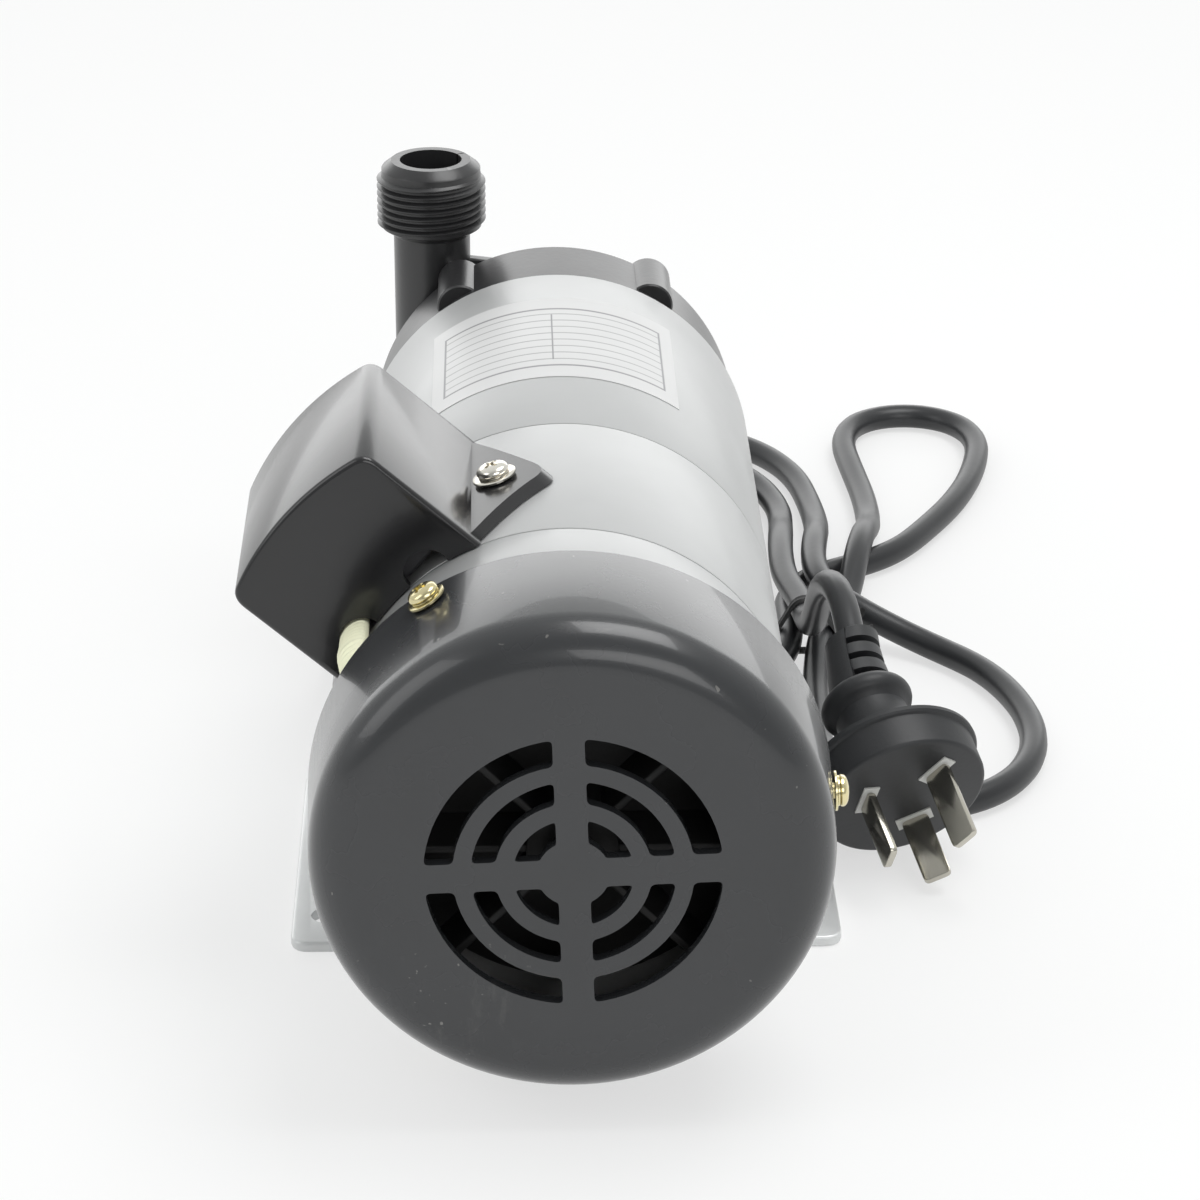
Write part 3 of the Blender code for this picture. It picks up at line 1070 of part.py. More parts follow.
def motor_foot(shop, finish):
    half_x, half_y = FOOT_WIDTH / 2, FOOT_LENGTH / 2
    plate = rounded([(-half_x, -half_y), (half_x, -half_y), (half_x, half_y), (-half_x, half_y)], FOOT_CORNER, 3)
    base = moved(slab([plate], FOOT_PLATE), Matrix.Translation((0.0, 0.0, FOOT_PLATE / 2)))
    foot = shop.part("motor_foot", base, finish)
    corners = [(x, y) for x in (-FOOT_SLOT_X, FOOT_SLOT_X) for y in (-FOOT_SLOT_Y, FOOT_SLOT_Y)]
    slots = [slab([slot_outline(x, y)], 4 * FOOT_PLATE) for x, y in corners]
    shop.boolean(foot, "slots", joined(slots))
    depth = FOOT_LENGTH - 4.0 * MM
    seat = BODY_RADIUS + GAP
    outer = seat + SADDLE_THICKNESS
    ring = shop.tool("saddle", moved(tube_ring(-depth / 2, depth / 2, seat, outer, ROUND), along_axis()))
    reach = 2 * outer * math.sin(SADDLE_HALF_ANGLE)
    wedge = block((reach, depth + 2.0 * MM, 40.0 * MM), (0.0, 0.0, AXIS_HEIGHT - outer))
    shop.boolean(ring, "span", wedge, "INTERSECT")
    saddle = foot.modifiers.new("saddle", "BOOLEAN")
    saddle.operation = "UNION"
    saddle.object = ring
    low = FOOT_PLATE - 0.5 * MM
    x = FOOT_WEB_INNER + FOOT_WEB / 2
    high = AXIS_HEIGHT - math.sqrt(seat ** 2 - (FOOT_WEB_INNER + FOOT_WEB) ** 2) + 1.0 * MM
    webs = [block((FOOT_WEB, depth - 0.6 * MM, high - low), (s * x, 0.0, (high + low) / 2)) for s in (-1.0, 1.0)]
    shop.boolean(foot, "webs", joined(webs), "UNION")
    body = rod(-FOOT_LENGTH, FOOT_LENGTH, seat, ROUND)
    shop.boolean(foot, "body", moved(body, along_axis()))
    shop.boolean(foot, "screw_holes", foot_screw_holes())
    return foot


def slot_outline(x, y):
    radius = FOOT_SLOT_WIDTH / 2
    run = (FOOT_SLOT_LENGTH - FOOT_SLOT_WIDTH) / 2
    right = arc((x + run, y), radius, -math.pi / 2, math.pi / 2, 7)
    left = arc((x - run, y), radius, math.pi / 2, 3 * math.pi / 2, 7)
    return right + left


def foot_screw_places():
    angles = (-math.pi / 2 - FOOT_SCREW_ANGLE, -math.pi / 2 + FOOT_SCREW_ANGLE)
    return [radial_out(a, FOOT_SCREW_Y) for a in angles]


def foot_screw_holes():
    hole = rod(CORE_OUTER - 0.4 * MM, BODY_RADIUS + 5.0 * MM, SMALL_SCREW_RADIUS + GAP, 12)
    return joined([moved(hole, place) for place in foot_screw_places()])


def foot_screws(shop, finish):
    seat = BODY_RADIUS + GAP + SADDLE_THICKNESS + GAP
    screw = pan_screw(seat, seat - CORE_OUTER - GAP)
    shop.copies("foot_screw", screw, foot_screw_places(), finish)


# Mains lead and plug

def floor_arc(centre, radius, start, end, count, height=CORD_FLOOR):
    angles = np.radians(np.linspace(start, end, count))
    return [Vector((centre[0] * MM + radius * MM * math.cos(a), centre[1] * MM + radius * MM * math.sin(a), height))
            for a in angles]


def cord_route():
    """The route's own points, from the gland to the plug; folds and the coil are worked out."""
    flat = CORD_FLOOR / MM
    down = [(-43.5, 20.7, 96.4), (-43.5, 32, 96.2), (-45.5, 47, 90), (-48.5, 58, 79), (-51.3, 66, 62),
            (-52.5, 73, 42), (-53, 84, 21.5), (-53, 100, 7.5), (-53, 122, flat)]
    behind = [(-53, 150, flat), (-52, 180, flat), (-47, 208, flat), (-33, 233, flat), (-10, 247, flat),
              (16, 250, flat), (39, 244, flat), (56, 232, flat), (66, 214, flat), (69.5, 192, flat)]
    beside = [(69.8, 172, 5.6), (68, 155, 10.2), (66.3, 139, 10.9), (67.6, 124, 10.9), (74.5, 113.3, 9.6),
              (84, 108, 6), (94, 101, flat), (103, 90, flat), (109, 76, flat), (112, 59, flat),
              (110.5, 43, flat), (104, 29, flat), (94, 20, flat), (83, 16.5, flat), (72, 16, 4)]
    under = [(60, 17.3, 6.4), (47, 21.5, 6.4), (37.5, 31, 6.4), (34.3, 43, 6.7), (34.5, 57, 4.5), (39, 70, flat),
             (48, 82, flat), (55, 92, 5.2), (58, 103, 6.3), (58.4, 115, 5.8), (58.6, 127, flat), (62, 138.5, flat),
             (70, 147, flat), (80, 152.5, flat), (90, 161, flat), (99, 175, flat), (109, 194, flat),
             (116.5, 216, flat)]
    back = [(83, 218, flat), (84.5, 196, flat), (84, 176, 4.6), (80.5, 157, 10.2), (77.5, 143, 9.3),
            (74, 128, 4.6), (68.6, 114, 5.4), (65.6, 103, 6.3), (63.6, 90, 5.2), (62.4, 79, flat), (61.8, 68, flat),
            (61.3, 54, flat), (60.3, 43, 6), (59, 32, 11), (57.6, 20, 13.4), (56.2, 8, 10.4)]
    home = [(21.4, 15, 6.4), (21.6, 32, 6.4), (21.6, 45, 6.7), (21, 60, 4.4), (19, 74, flat), (14, 94, flat),
            (6, 120, flat), (-1, 146, flat), (-4.6, 168, flat)]
    up = [(60.5, 174, 4.8), (59.3, 158, 9.5), (58.2, 143, 11.2), (58.2, 127, 11.6), (60.6, 112, 12.6),
          (61.5, 102, 12.9), (61.8, 92, 14.6), (62, 82.5, 21), (62.3, 70.5, 33.6), (63, 61.8, 39.8),
          (64.3, 51.5, 42.5), (66.3, 40.7, 40.2)]
    listed = [[Vector(p) * MM for p in run] for run in (down + behind + beside + under, back, home, up)]
    far_fold = floor_arc((101, 238), 18.5, 0, 180, 5)
    near_fold = floor_arc((38.8, -3), 17.5, 0, -180, 5, FOOT_PLATE + CORD_FLOOR)
    coil = floor_arc((24, 190), 29, 180, -90, 7)
    lifted = zip((31, 34.5, 36.5), (-112, -145, -172), (5.0, 10.6, 7.5))
    coil += [floor_arc((24, 190), r, a, a, 1, h * MM)[0] for r, a, h in lifted]
    coil += floor_arc((24, 190), 36.8, 155, 0, 5)
    return listed[0] + far_fold + listed[1] + near_fold + listed[2] + coil + listed[3]


def smooth_points(route, step):
    """Points an even step apart on a centripetal Catmull-Rom curve through the route, with a short
    straight stub at each end, square to what the cord meets there."""
    ends = [route[0] * 2 - route[1]] + route + [route[-1] * 2 - route[-2]]
    fine = []
    for a, b, c, d in zip(ends, ends[1:], ends[2:], ends[3:]):
        ta = 0.0
        tb = ta + (b - a).length ** 0.5
        tc = tb + (c - b).length ** 0.5
        td = tc + (d - c).length ** 0.5
        for t in np.linspace(tb, tc, 12, endpoint=False):
            first = a.lerp(b, (t - ta) / (tb - ta))
            second = b.lerp(c, (t - tb) / (tc - tb))
            third = c.lerp(d, (t - tc) / (td - tc))
            left = first.lerp(second, (t - ta) / (tc - ta))
            right = second.lerp(third, (t - tb) / (td - tb))
            fine.append(left.lerp(right, (t - tb) / (tc - tb)))
    fine.append(route[-1])
    walked = np.cumsum([0.0] + [(q - p).length for p, q in zip(fine, fine[1:])])
    inner = np.linspace(step, walked[-1] - step, round(walked[-1] / step) - 1)
    marks = np.concatenate(([0.0, CORD_STUB], inner, [walked[-1] - CORD_STUB, walked[-1]]))
    columns = [np.interp(marks, walked, [p[k] for p in fine]) for k in range(3)]
    return list(zip(*columns))


def power_cord(shop, finish):
    points = smooth_points(cord_route(), CORD_STEP)
    return shop.part("power_cord", pipe(points, CORD_RADIUS, 2), finish)


def cord_tie(shop, finish):
    """A flat tie round the three strands that lie together beside the motor."""
    strands = strands_at(TIE_Y - TIE_WIDTH / 2) + strands_at(TIE_Y + TIE_WIDTH / 2)
    inner = tie_outline(strands, CORD_RADIUS + TIE_SLACK)
    outer = tie_outline(strands, CORD_RADIUS + TIE_SLACK + TIE_THICKNESS)
    stand = Matrix.Translation((0.0, TIE_Y, 0.0)) @ Matrix.Rotation(math.pi / 2, 4, "X")
    return shop.part("cord_tie", moved(slab([outer, inner], TIE_WIDTH), stand), finish)


def strands_at(y):
    """Where the strands beside the motor cross the plane at y, as (x, z)."""
    points = smooth_points(cord_route(), CORD_STEP)
    strands = []
    for near, far in zip(points, points[1:]):
        if TIE_REACH[0] < near[0] < TIE_REACH[1] and (near[1] - y) * (far[1] - y) <= 0:
            share = (y - near[1]) / (far[1] - near[1])
            strands.append(tuple(near[k] + share * (far[k] - near[k]) for k in (0, 2)))
    return strands


def tie_outline(strands, radius):
    points = []
    for centre in strands:
        points += arc(centre, radius, 0.0, 2 * math.pi, 17)[:-1]
    return [points[i] for i in convex_hull_2d(points)]


def plug_frame():
    """Local Z points from the plug's face back to its cord, local Y from the live pins to the earth."""
    flat = math.cos(PLUG_TILT)
    back = Vector((-math.sin(PLUG_AZIMUTH) * flat, math.cos(PLUG_AZIMUTH) * flat, math.sin(PLUG_TILT)))
    right = Vector((math.cos(PLUG_AZIMUTH), math.sin(PLUG_AZIMUTH), 0.0))
    up = right.cross(back) * -1.0
    if up.z < 0:
        up = up * -1.0
    earth = up * -math.cos(PLUG_ROLL) + right * math.sin(PLUG_ROLL)
    side = earth.cross(back)
    frame = Matrix((side, earth, back)).transposed().to_4x4()
    return Matrix.Translation(PLUG_FACE) @ frame


def plug_body(shop, finish):
    edge = 1.0 * MM
    profile = [(0.0, 0.0), (0.0, PLUG_RADIUS - edge), (edge, PLUG_RADIUS), (PLUG_DISC - 2.0 * MM, PLUG_RADIUS),
               (PLUG_DISC, PLUG_RADIUS - 2.0 * MM), (PLUG_DISC + 1.0 * MM, PLUG_NECK_RADIUS + 2.0 * MM),
               (PLUG_DISC + 4.0 * MM, PLUG_NECK_RADIUS), (26.0 * MM, PLUG_NECK_RADIUS - 0.5 * MM),
               (28.0 * MM, PLUG_COLLAR_RADIUS - 0.4 * MM), (30.0 * MM, PLUG_COLLAR_RADIUS),
               (33.0 * MM, PLUG_COLLAR_RADIUS), (35.0 * MM, PLUG_COLLAR_RADIUS - 1.5 * MM)]
    ribs = 3
    start = 35.5 * MM
    pitch = (PLUG_LENGTH - start) / ribs
    for k in range(ribs):
        y = start + k * pitch
        radius = PLUG_TAIL_RADIUS - 0.5 * MM * k
        profile += [(y, radius - 1.6 * MM), (y + 0.4 * pitch, radius - 1.6 * MM), (y + 0.45 * pitch, radius),
                    (y + 0.95 * pitch, radius)]
    profile += [(PLUG_LENGTH, PLUG_TAIL_RADIUS - 1.6 * MM), (PLUG_LENGTH, 0.0)]
    return shop.part("plug_body", moved(turned(profile, 18), plug_frame()), finish)


def plug_pins(shop, finish):
    names = ("plug_pin_live", "plug_pin_neutral", "plug_pin_earth")
    for name, (x, y, lean, length) in zip(names, ((-PIN_SPREAD, -PIN_DROP, PIN_LEAN, PIN_LENGTH),
                                              (PIN_SPREAD, -PIN_DROP, -PIN_LEAN, PIN_LENGTH),
                                              (0.0, EARTH_PIN_RISE, 0.0, EARTH_PIN_LENGTH))):
        blade = block((PIN_THICKNESS, PIN_WIDTH, length), (0.0, 0.0, -GAP - length / 2), 0.5 * MM, 1)
        turn = Matrix.Translation((x, y, 0.0)) @ Matrix.Rotation(lean, 4, "Z")
        shop.part(name, moved(blade, plug_frame() @ turn), finish)


def build():
    clear_scene()
    shop = Workshop()
    cover_black = material("cover_black", (0.065, 0.068, 0.072), 0.5)
    silver = material("silver_paint", (0.69, 0.68, 0.72), 0.45, 0.3)
    plastic = material("black_plastic", (0.02, 0.02, 0.022), 0.45)
    fan_plastic = material("fan_plastic", (0.03, 0.03, 0.03), 0.6)
    steel = material("steel", (0.55, 0.55, 0.56), 0.35, 1.0)
    laminate = material("laminated_steel", (0.3, 0.3, 0.32), 0.5, 0.9)
    copper = material("copper_wire", (0.75, 0.33, 0.18), 0.45, 0.8)
    aluminium = material("cast_aluminium", (0.7, 0.7, 0.7), 0.5, 0.9)
    ferrite = material("ferrite", (0.08, 0.08, 0.085), 0.6)
    ceramic = material("ceramic", (0.9, 0.88, 0.82), 0.25)
    carbon = material("carbon", (0.05, 0.05, 0.055), 0.4)
    rubber = material("rubber", (0.02, 0.02, 0.02), 0.7)
    yellow_zinc = material("yellow_zinc", (0.72, 0.62, 0.35), 0.3, 1.0)
    nickel = material("nickel", (0.8, 0.78, 0.72), 0.25, 1.0)
    cream = material("cream_sleeve", (0.84, 0.8, 0.58), 0.6)
    foot_grey = material("foot_grey", (0.6, 0.6, 0.62), 0.45, 0.5)
    cord_black = material("cord_black", (0.02, 0.02, 0.02), 0.5)

    fan_cover(shop, cover_black)
    cover_screws(shop, yellow_zinc)
    rear_end_bell(shop, silver)
    stator_shell(shop, silver)
    front_end_bell(shop, silver)
    motor_tie_bolts(shop, steel)
    stator_core(shop, laminate)
    stator_windings(shop, copper)
    rotor(shop, laminate, aluminium)
    motor_shaft(shop, steel)
    bearing(shop, "rear", REAR_BEARING_Y, steel)
    bearing(shop, "front", FRONT_BEARING_Y, steel)
    cooling_fan(shop, fan_plastic)
    drive_coupling(shop, steel, ferrite, steel)
    rear_casing(shop, plastic)
    front_casing(shop, plastic)
    casing_screws(shop, steel)
    casing_o_ring(shop, rubber)
    spindle_parts(shop, ceramic, ceramic)
    impeller_parts(shop, plastic, ferrite, carbon)
    terminal_box_cover(shop, plastic)
    box_screws(shop, nickel)
    box_contents(shop, cream, ferrite)
    lead_sleeve(shop, cream)
    cord_gland(shop, rubber)
    motor_foot(shop, foot_grey)
    foot_screws(shop, steel)
    power_cord(shop, cord_black)
    cord_tie(shop, rubber)
    plug_body(shop, plastic)
    plug_pins(shop, nickel)


build()
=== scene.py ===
"""Magnetic drive pump: the looks of every piece, the mains lead, the camera and the light.

Lengths are in metres. +Y runs from the fan cover to the inlet, +Z is up, and the motor's axis lies
AXIS_HEIGHT above the foot's underside, where the frame has its origin.
"""

import logging
import math
from dataclasses import dataclass
from enum import Enum
from typing import Iterable, Mapping, Optional, Sequence, Union

import bmesh
import bpy
import numpy as np
from mathutils import Matrix, Vector
from mathutils.geometry import convex_hull_2d


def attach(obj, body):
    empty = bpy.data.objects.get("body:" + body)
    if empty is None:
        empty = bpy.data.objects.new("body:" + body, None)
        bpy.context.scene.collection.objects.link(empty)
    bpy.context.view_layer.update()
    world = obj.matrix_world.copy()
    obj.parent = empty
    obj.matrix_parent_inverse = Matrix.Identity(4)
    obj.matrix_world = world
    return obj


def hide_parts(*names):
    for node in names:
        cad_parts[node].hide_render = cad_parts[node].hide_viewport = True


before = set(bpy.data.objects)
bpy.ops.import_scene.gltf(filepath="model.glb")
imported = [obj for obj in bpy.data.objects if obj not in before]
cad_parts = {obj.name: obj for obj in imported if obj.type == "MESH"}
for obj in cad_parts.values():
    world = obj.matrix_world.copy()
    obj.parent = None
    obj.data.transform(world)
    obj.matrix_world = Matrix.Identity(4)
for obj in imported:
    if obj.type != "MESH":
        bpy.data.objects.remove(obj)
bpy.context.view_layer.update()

Array = np.ndarray
Colour = tuple[float, float, float]
LOG = logging.getLogger("pump")

MM = 0.001
TURN = 2 * math.pi
FINE, MEDIUM, COARSE = 128, 64, 24

AXIS_HEIGHT = 58.0 * MM
BODY_RADIUS = 46.0 * MM
BELL_WALL = 3.4 * MM
CAN_SEAT = 35.7 * MM
GAP = 0.3 * MM
SHELL_HOLE = 1.9 * MM
TIE_BOLT_CIRCLE, TIE_BOLT_HOLE, TIE_BOLT_ANGLES = 40.0 * MM, 2.1 * MM, (45, 135, 225, 315)
CASING_CIRCLE, CASING_HOLE, CASING_ANGLES = 41.4 * MM, 2.2 * MM, (57.0, 123.0, 237.0, 303.0)
FOOT_SCREW_Y, FOOT_SCREW_ANGLES = -20.0 * MM, (-117.0, -63.0)


class Op(Enum):
    """What a tool does to the piece it meets."""

    CUT = "DIFFERENCE"
    ADD = "UNION"
    KEEP = "INTERSECT"


# Shader values

Term = Union["Value", float]


class Value:
    """A shader socket whose arithmetic adds Math nodes."""

    def __init__(self, nodes: "Nodes", socket: bpy.types.NodeSocket) -> None:
        """Keep the socket and the nodes it belongs to."""
        self.nodes = nodes
        self.socket = socket

    def worked(self, operation: str, first: Term, second: Term = 0.0) -> "Value":
        """Return one Math node's result.

        Args:
            operation: the Math node's operation.
            first: the first operand.
            second: the second operand.

        Returns:
            The result as a value.
        """
        return self.nodes.node("ShaderNodeMath", {"operation": operation}, {0: first, 1: second})

    def __add__(self, other: Term) -> "Value":
        """Add."""
        return self.worked("ADD", self, other)

    __radd__ = __add__

    def __sub__(self, other: Term) -> "Value":
        """Subtract."""
        return self.worked("SUBTRACT", self, other)

    def __rsub__(self, other: Term) -> "Value":
        """Subtract this value from a number."""
        return self.worked("SUBTRACT", other, self)

    def __mul__(self, other: Term) -> "Value":
        """Multiply."""
        return self.worked("MULTIPLY", self, other)

    __rmul__ = __mul__

    def __truediv__(self, other: Term) -> "Value":
        """Divide."""
        return self.worked("DIVIDE", self, other)

    def wave(self) -> "Value":
        """Return the sine."""
        return self.worked("SINE", self)

    def ramp(self, low: float, high: float) -> "Value":
        """Return a smooth step from 0 at low to 1 at high."""
        return self.nodes.node("ShaderNodeMapRange", {"interpolation_type": "SMOOTHSTEP", "clamp": True},
                               {"Value": self, "From Min": low, "From Max": high})

    def repeat(self, pitch: float) -> "Value":
        """Return the place inside a pitch that repeats, from 0 to 1."""
        return self.worked("FRACT", self / pitch)


class Nodes:
    """The shader nodes of a material or of the world."""

    def __init__(self, owner: bpy.types.ID) -> None:
        """Switch the owner's nodes on."""
        owner.use_nodes = True
        self.tree = owner.node_tree

    def put(self, socket: bpy.types.NodeSocket, value: object) -> None:
        """Link or set one input socket."""
        if isinstance(value, Value):
            self.tree.links.new(value.socket, socket)
        else:
            socket.default_value = value

    def node(self, kind: str, settings: Mapping[str, object], inputs: Mapping[object, object],
             output: object = 0) -> Value:
        """Add one node.

        Args:
            kind: the node's type.
            settings: the node's own settings, set before its sockets.
            inputs: what each input socket gets, by its name or number.
            output: the output's name or number.

        Returns:
            The output as a value.
        """
        made = self.tree.nodes.new(kind)
        for key, setting in settings.items():
            setattr(made, key, setting)
        for key, value in inputs.items():
            self.put(made.inputs[key], value)
        return Value(self, made.outputs[output])


class Paint(Nodes):
    """One material and the nodes that vary it over a surface."""

    def __init__(self, name: str) -> None:
        """Make the material with its Principled shader."""
        self.material = bpy.data.materials.new(name)
        super().__init__(self.material)
        self.shader = self.tree.nodes["Principled BSDF"]

    def place(self) -> Value:
        """Return the object coordinates."""
        return self.node("ShaderNodeTexCoord", {}, {}, "Object")

    def stretched(self, scale: Colour) -> Value:
        """Return the object coordinates scaled along each axis."""
        return self.node("ShaderNodeVectorMath", {"operation": "MULTIPLY"}, {0: self.place(), 1: scale})

    def part_of(self, vector: Value, axis: str) -> Value:
        """Return one component of a vector."""
        return self.node("ShaderNodeSeparateXYZ", {}, {0: vector}, axis)

    def noise(self, scale: float, detail: float = 3.0, vector: Optional[Value] = None,
              roughness: float = 0.55) -> Value:
        """Return fractal noise.

        Args:
            scale: how many cells it has in a metre.
            detail: how many octaves are added.
            vector: the coordinates, or the object's own.
            roughness: how strong the finer octaves are.

        Returns:
            The noise, from 0 to 1.
        """
        return self.node("ShaderNodeTexNoise", {}, {"Vector": vector or self.place(), "Scale": scale,
                                                    "Detail": detail, "Roughness": roughness})

    def blend(self, factor: Term, first: object, second: object) -> Value:
        """Mix two colours."""
        settings = {"data_type": "RGBA", "clamp_factor": True}
        return self.node("ShaderNodeMix", settings, {0: factor, 6: tint(first), 7: tint(second)}, 2)

    def bump(self, height: Value, distance: float) -> None:
        """Feed a height to the shader's normal."""
        settings = {"Height": height, "Distance": distance, "Strength": 1.0}
        self.put(self.shader.inputs["Normal"], self.node("ShaderNodeBump", {}, settings))

    def feed(self, name: str, value: object) -> None:
        """Feed or set one of the shader's own sockets."""
        self.put(self.shader.inputs[name], tint(value) if name == "Base Color" else value)


def tint(colour: object) -> object:
    """Return a colour with its alpha, or a value as it is."""
    return (*colour, 1.0) if isinstance(colour, tuple) else colour


# Finishes

@dataclass(frozen=True)
class Finish:
    """A surface with slight clouding, fine grain and uneven gloss."""

    name: str
    slot: str
    colour: Colour
    roughness: float
    metallic: float = 0.0
    coat: float = 0.0
    coat_roughness: float = 0.1
    clouding: float = 0.08
    grain: float = 0.02 * MM
    grain_scale: float = 900.0
    unevenness: float = 0.06

    def material(self) -> bpy.types.Material:
        """Return the finish's material, made once."""
        title = f"{self.name}_finish"
        known = bpy.data.materials.get(title)
        if known:
            return known
        paint = Paint(title)
        self.dress(paint)
        return paint.material

    def dress(self, paint: Paint) -> None:
        """Set up colour, gloss and grain.

        Args:
            paint: the material to set up.
        """
        paint.feed("Metallic", self.metallic)
        paint.feed("Coat Weight", self.coat)
        paint.feed("Coat Roughness", self.coat_roughness)
        paint.feed("Base Color", self.pattern(paint, self.clouded(paint)))
        patches = paint.noise(45.0, 4.0)
        paint.feed("Roughness", self.roughness + (patches - 0.5) * (2 * self.unevenness))
        paint.bump(self.relief(paint), self.grain)

    def clouded(self, paint: Paint) -> Value:
        """Return the base colour with slow light and dark patches."""
        dark = tuple(channel * (1 - self.clouding) for channel in self.colour)
        light = tuple(min(1.0, channel * (1 + self.clouding)) for channel in self.colour)
        return paint.blend(paint.noise(28.0, 5.0).ramp(0.3, 0.7), dark, light)

    def pattern(self, paint: Paint, colour: Value) -> Value:
        """Return the colour with the finish's own marks; the plain finish has none."""
        return colour

    def relief(self, paint: Paint) -> Value:
        """Return the height of the finish's grain."""
        return paint.noise(self.grain_scale, 2.0)


@dataclass(frozen=True)
class ScuffedPaint(Finish):
    """Satin paint with hairline scratches, pale specks and a dusty, rubbed patch low on one side."""

    dust: Colour = (0.34, 0.33, 0.31)
    rub: Colour = (-0.026, -0.112, 0.030)
    rub_reach: float = 0.024
    smears: float = 0.18
    crumbs: float = 0.5
    specks: float = 0.35
    scratches: float = 0.05

    def pattern(self, paint: Paint, colour: Value) -> Value:
        """Return the colour with dust, specks and scratches."""
        here = {0: paint.place(), 1: self.rub}
        away = paint.node("ShaderNodeVectorMath", {"operation": "DISTANCE"}, here, "Value")
        near = 1.0 - away.ramp(self.rub_reach * 0.2, self.rub_reach)
        smears = paint.noise(120.0, 6.0, paint.stretched((1.0, 1.0, 0.45)), 0.7).ramp(0.52, 0.75)
        crumbs = paint.noise(650.0, 2.0).ramp(0.7, 0.76)
        specks = paint.noise(420.0, 1.0).ramp(0.775, 0.80)
        strokes = paint.noise(60.0, 3.0, paint.stretched((0.6, 1.0, 5.0))).ramp(0.70, 0.74)
        breaks = paint.noise(240.0, 2.0).ramp(0.45, 0.6)
        for share in (near * (smears * self.smears + crumbs * self.crumbs), specks * self.specks,
                      strokes * breaks * self.scratches):
            colour = paint.blend(share, colour, self.dust)
        return colour


@dataclass(frozen=True)
class RuledPlate(Finish):
    """A pale sheet with a thin frame and bare ruled rows, drawn over the piece's own UV map."""

    ink: Colour = (0.16, 0.16, 0.17)
    strength: float = 0.85
    rows: int = 9
    row_share: float = 0.13
    row_strength: float = 0.75
    side_margin: float = 0.055
    end_margin: float = 0.13
    line: float = 0.009
    column: tuple[float, float] = (0.497, 0.503)
    column_ends: tuple[float, float] = (0.21, 0.787)

    def pattern(self, paint: Paint, colour: Value) -> Value:
        """Return the colour with the frame, the rows and the column line."""
        where = paint.node("ShaderNodeUVMap", {"uv_map": "sheet"}, {})
        across, along = paint.part_of(where, "X"), paint.part_of(where, "Y")
        side, end = self.side_margin, self.end_margin
        inside = self.between(across, side, 1 - side) * self.between(along, end, 1 - end)
        side, end = side + self.line, end + 2 * self.line
        core = self.between(across, side, 1 - side) * self.between(along, end, 1 - end)
        spacing = self.rows / (1 - 2 * self.end_margin)
        rule = ((along - self.end_margin) * spacing).repeat(1.0)
        rows = self.between(rule, 0.0, self.row_share) * self.row_strength
        column = self.between(across, *self.column) * self.between(along, *self.column_ends)
        mark = inside - core + core * (rows + column - rows * column)
        return paint.blend(mark * self.strength, colour, self.ink)

    def between(self, value: Value, low: float, high: float) -> Value:
        """Return 1 between two bounds and 0 outside them.

        Args:
            value: the value to test.
            low: the lower bound.
            high: the upper bound.

        Returns:
            The result, with a soft step at each bound.
        """
        soft = 0.0015
        return value.ramp(low - soft, low + soft) * (1.0 - value.ramp(high - soft, high + soft))


@dataclass(frozen=True)
class Banded(Finish):
    """A finish with fine bands across the motor's axis, as on laminations and wound wire."""

    pitch: float = 0.5 * MM
    band: float = 0.35

    def pattern(self, paint: Paint, colour: Value) -> Value:
        """Return the colour darkened between the bands."""
        dark = tuple(channel * self.band for channel in self.colour)
        return paint.blend(self.valley(paint), colour, dark)

    def relief(self, paint: Paint) -> Value:
        """Return the height of the bands."""
        return 1.0 - self.valley(paint)

    def valley(self, paint: Paint) -> Value:
        """Return how deep a place is between two bands."""
        along = paint.part_of(paint.place(), "Y")
        return (along * (TURN / self.pitch)).wave().ramp(0.2, 1.0)


@dataclass(frozen=True)
class TurnedMetal(Finish):
    """Metal with fine rings from a lathe about the motor's axis."""

    def relief(self, paint: Paint) -> Value:
        """Return the height of the tool marks."""
        return paint.noise(1.0, 2.0, paint.stretched((260.0, 2600.0, 260.0)))


COVER = ScuffedPaint("cover_paint", "cover_black", (0.028, 0.0295, 0.032), 0.27, coat=0.35,
                     coat_roughness=0.04, clouding=0.06, grain=0.012 * MM, grain_scale=1300.0,
                     unevenness=0.05)
SILVER = Finish("silver_paint", "silver_paint", (0.455, 0.46, 0.46), 0.42, metallic=0.3, coat=0.12,
                coat_roughness=0.15, clouding=0.025, grain=0.014 * MM, grain_scale=1500.0)
LABEL = RuledPlate("label_sheet", "silver_paint", (0.56, 0.56, 0.56), 0.42, metallic=0.1, clouding=0.015,
                   grain=0.004 * MM)
FOOT_GREY = Finish("foot_grey", "foot_grey", (0.72, 0.73, 0.73), 0.4, metallic=0.3, coat=0.2, clouding=0.05,
                   grain=0.03 * MM, grain_scale=900.0)

HOUSING_PLASTIC = Finish("housing_plastic", "black_plastic", (0.022, 0.022, 0.023), 0.34, coat=0.25,
                         coat_roughness=0.22, clouding=0.10, grain=0.03 * MM, grain_scale=700.0)
BOX_PLASTIC = Finish("box_plastic", "black_plastic", (0.014, 0.014, 0.015), 0.22, coat=0.2,
                     coat_roughness=0.08, clouding=0.08, grain=0.008 * MM, grain_scale=420.0,
                     unevenness=0.05)
PLUG_PLASTIC = Finish("plug_plastic", "black_plastic", (0.020, 0.021, 0.023), 0.46, clouding=0.08,
                      grain=0.03 * MM, grain_scale=1100.0)
PLUG_COLLAR = Finish("plug_collar", "cream_sleeve", (0.62, 0.62, 0.60), 0.5, clouding=0.05)
FAN_PLASTIC = Finish("fan_plastic", "fan_plastic", (0.022, 0.022, 0.022), 0.55, grain=0.03 * MM)
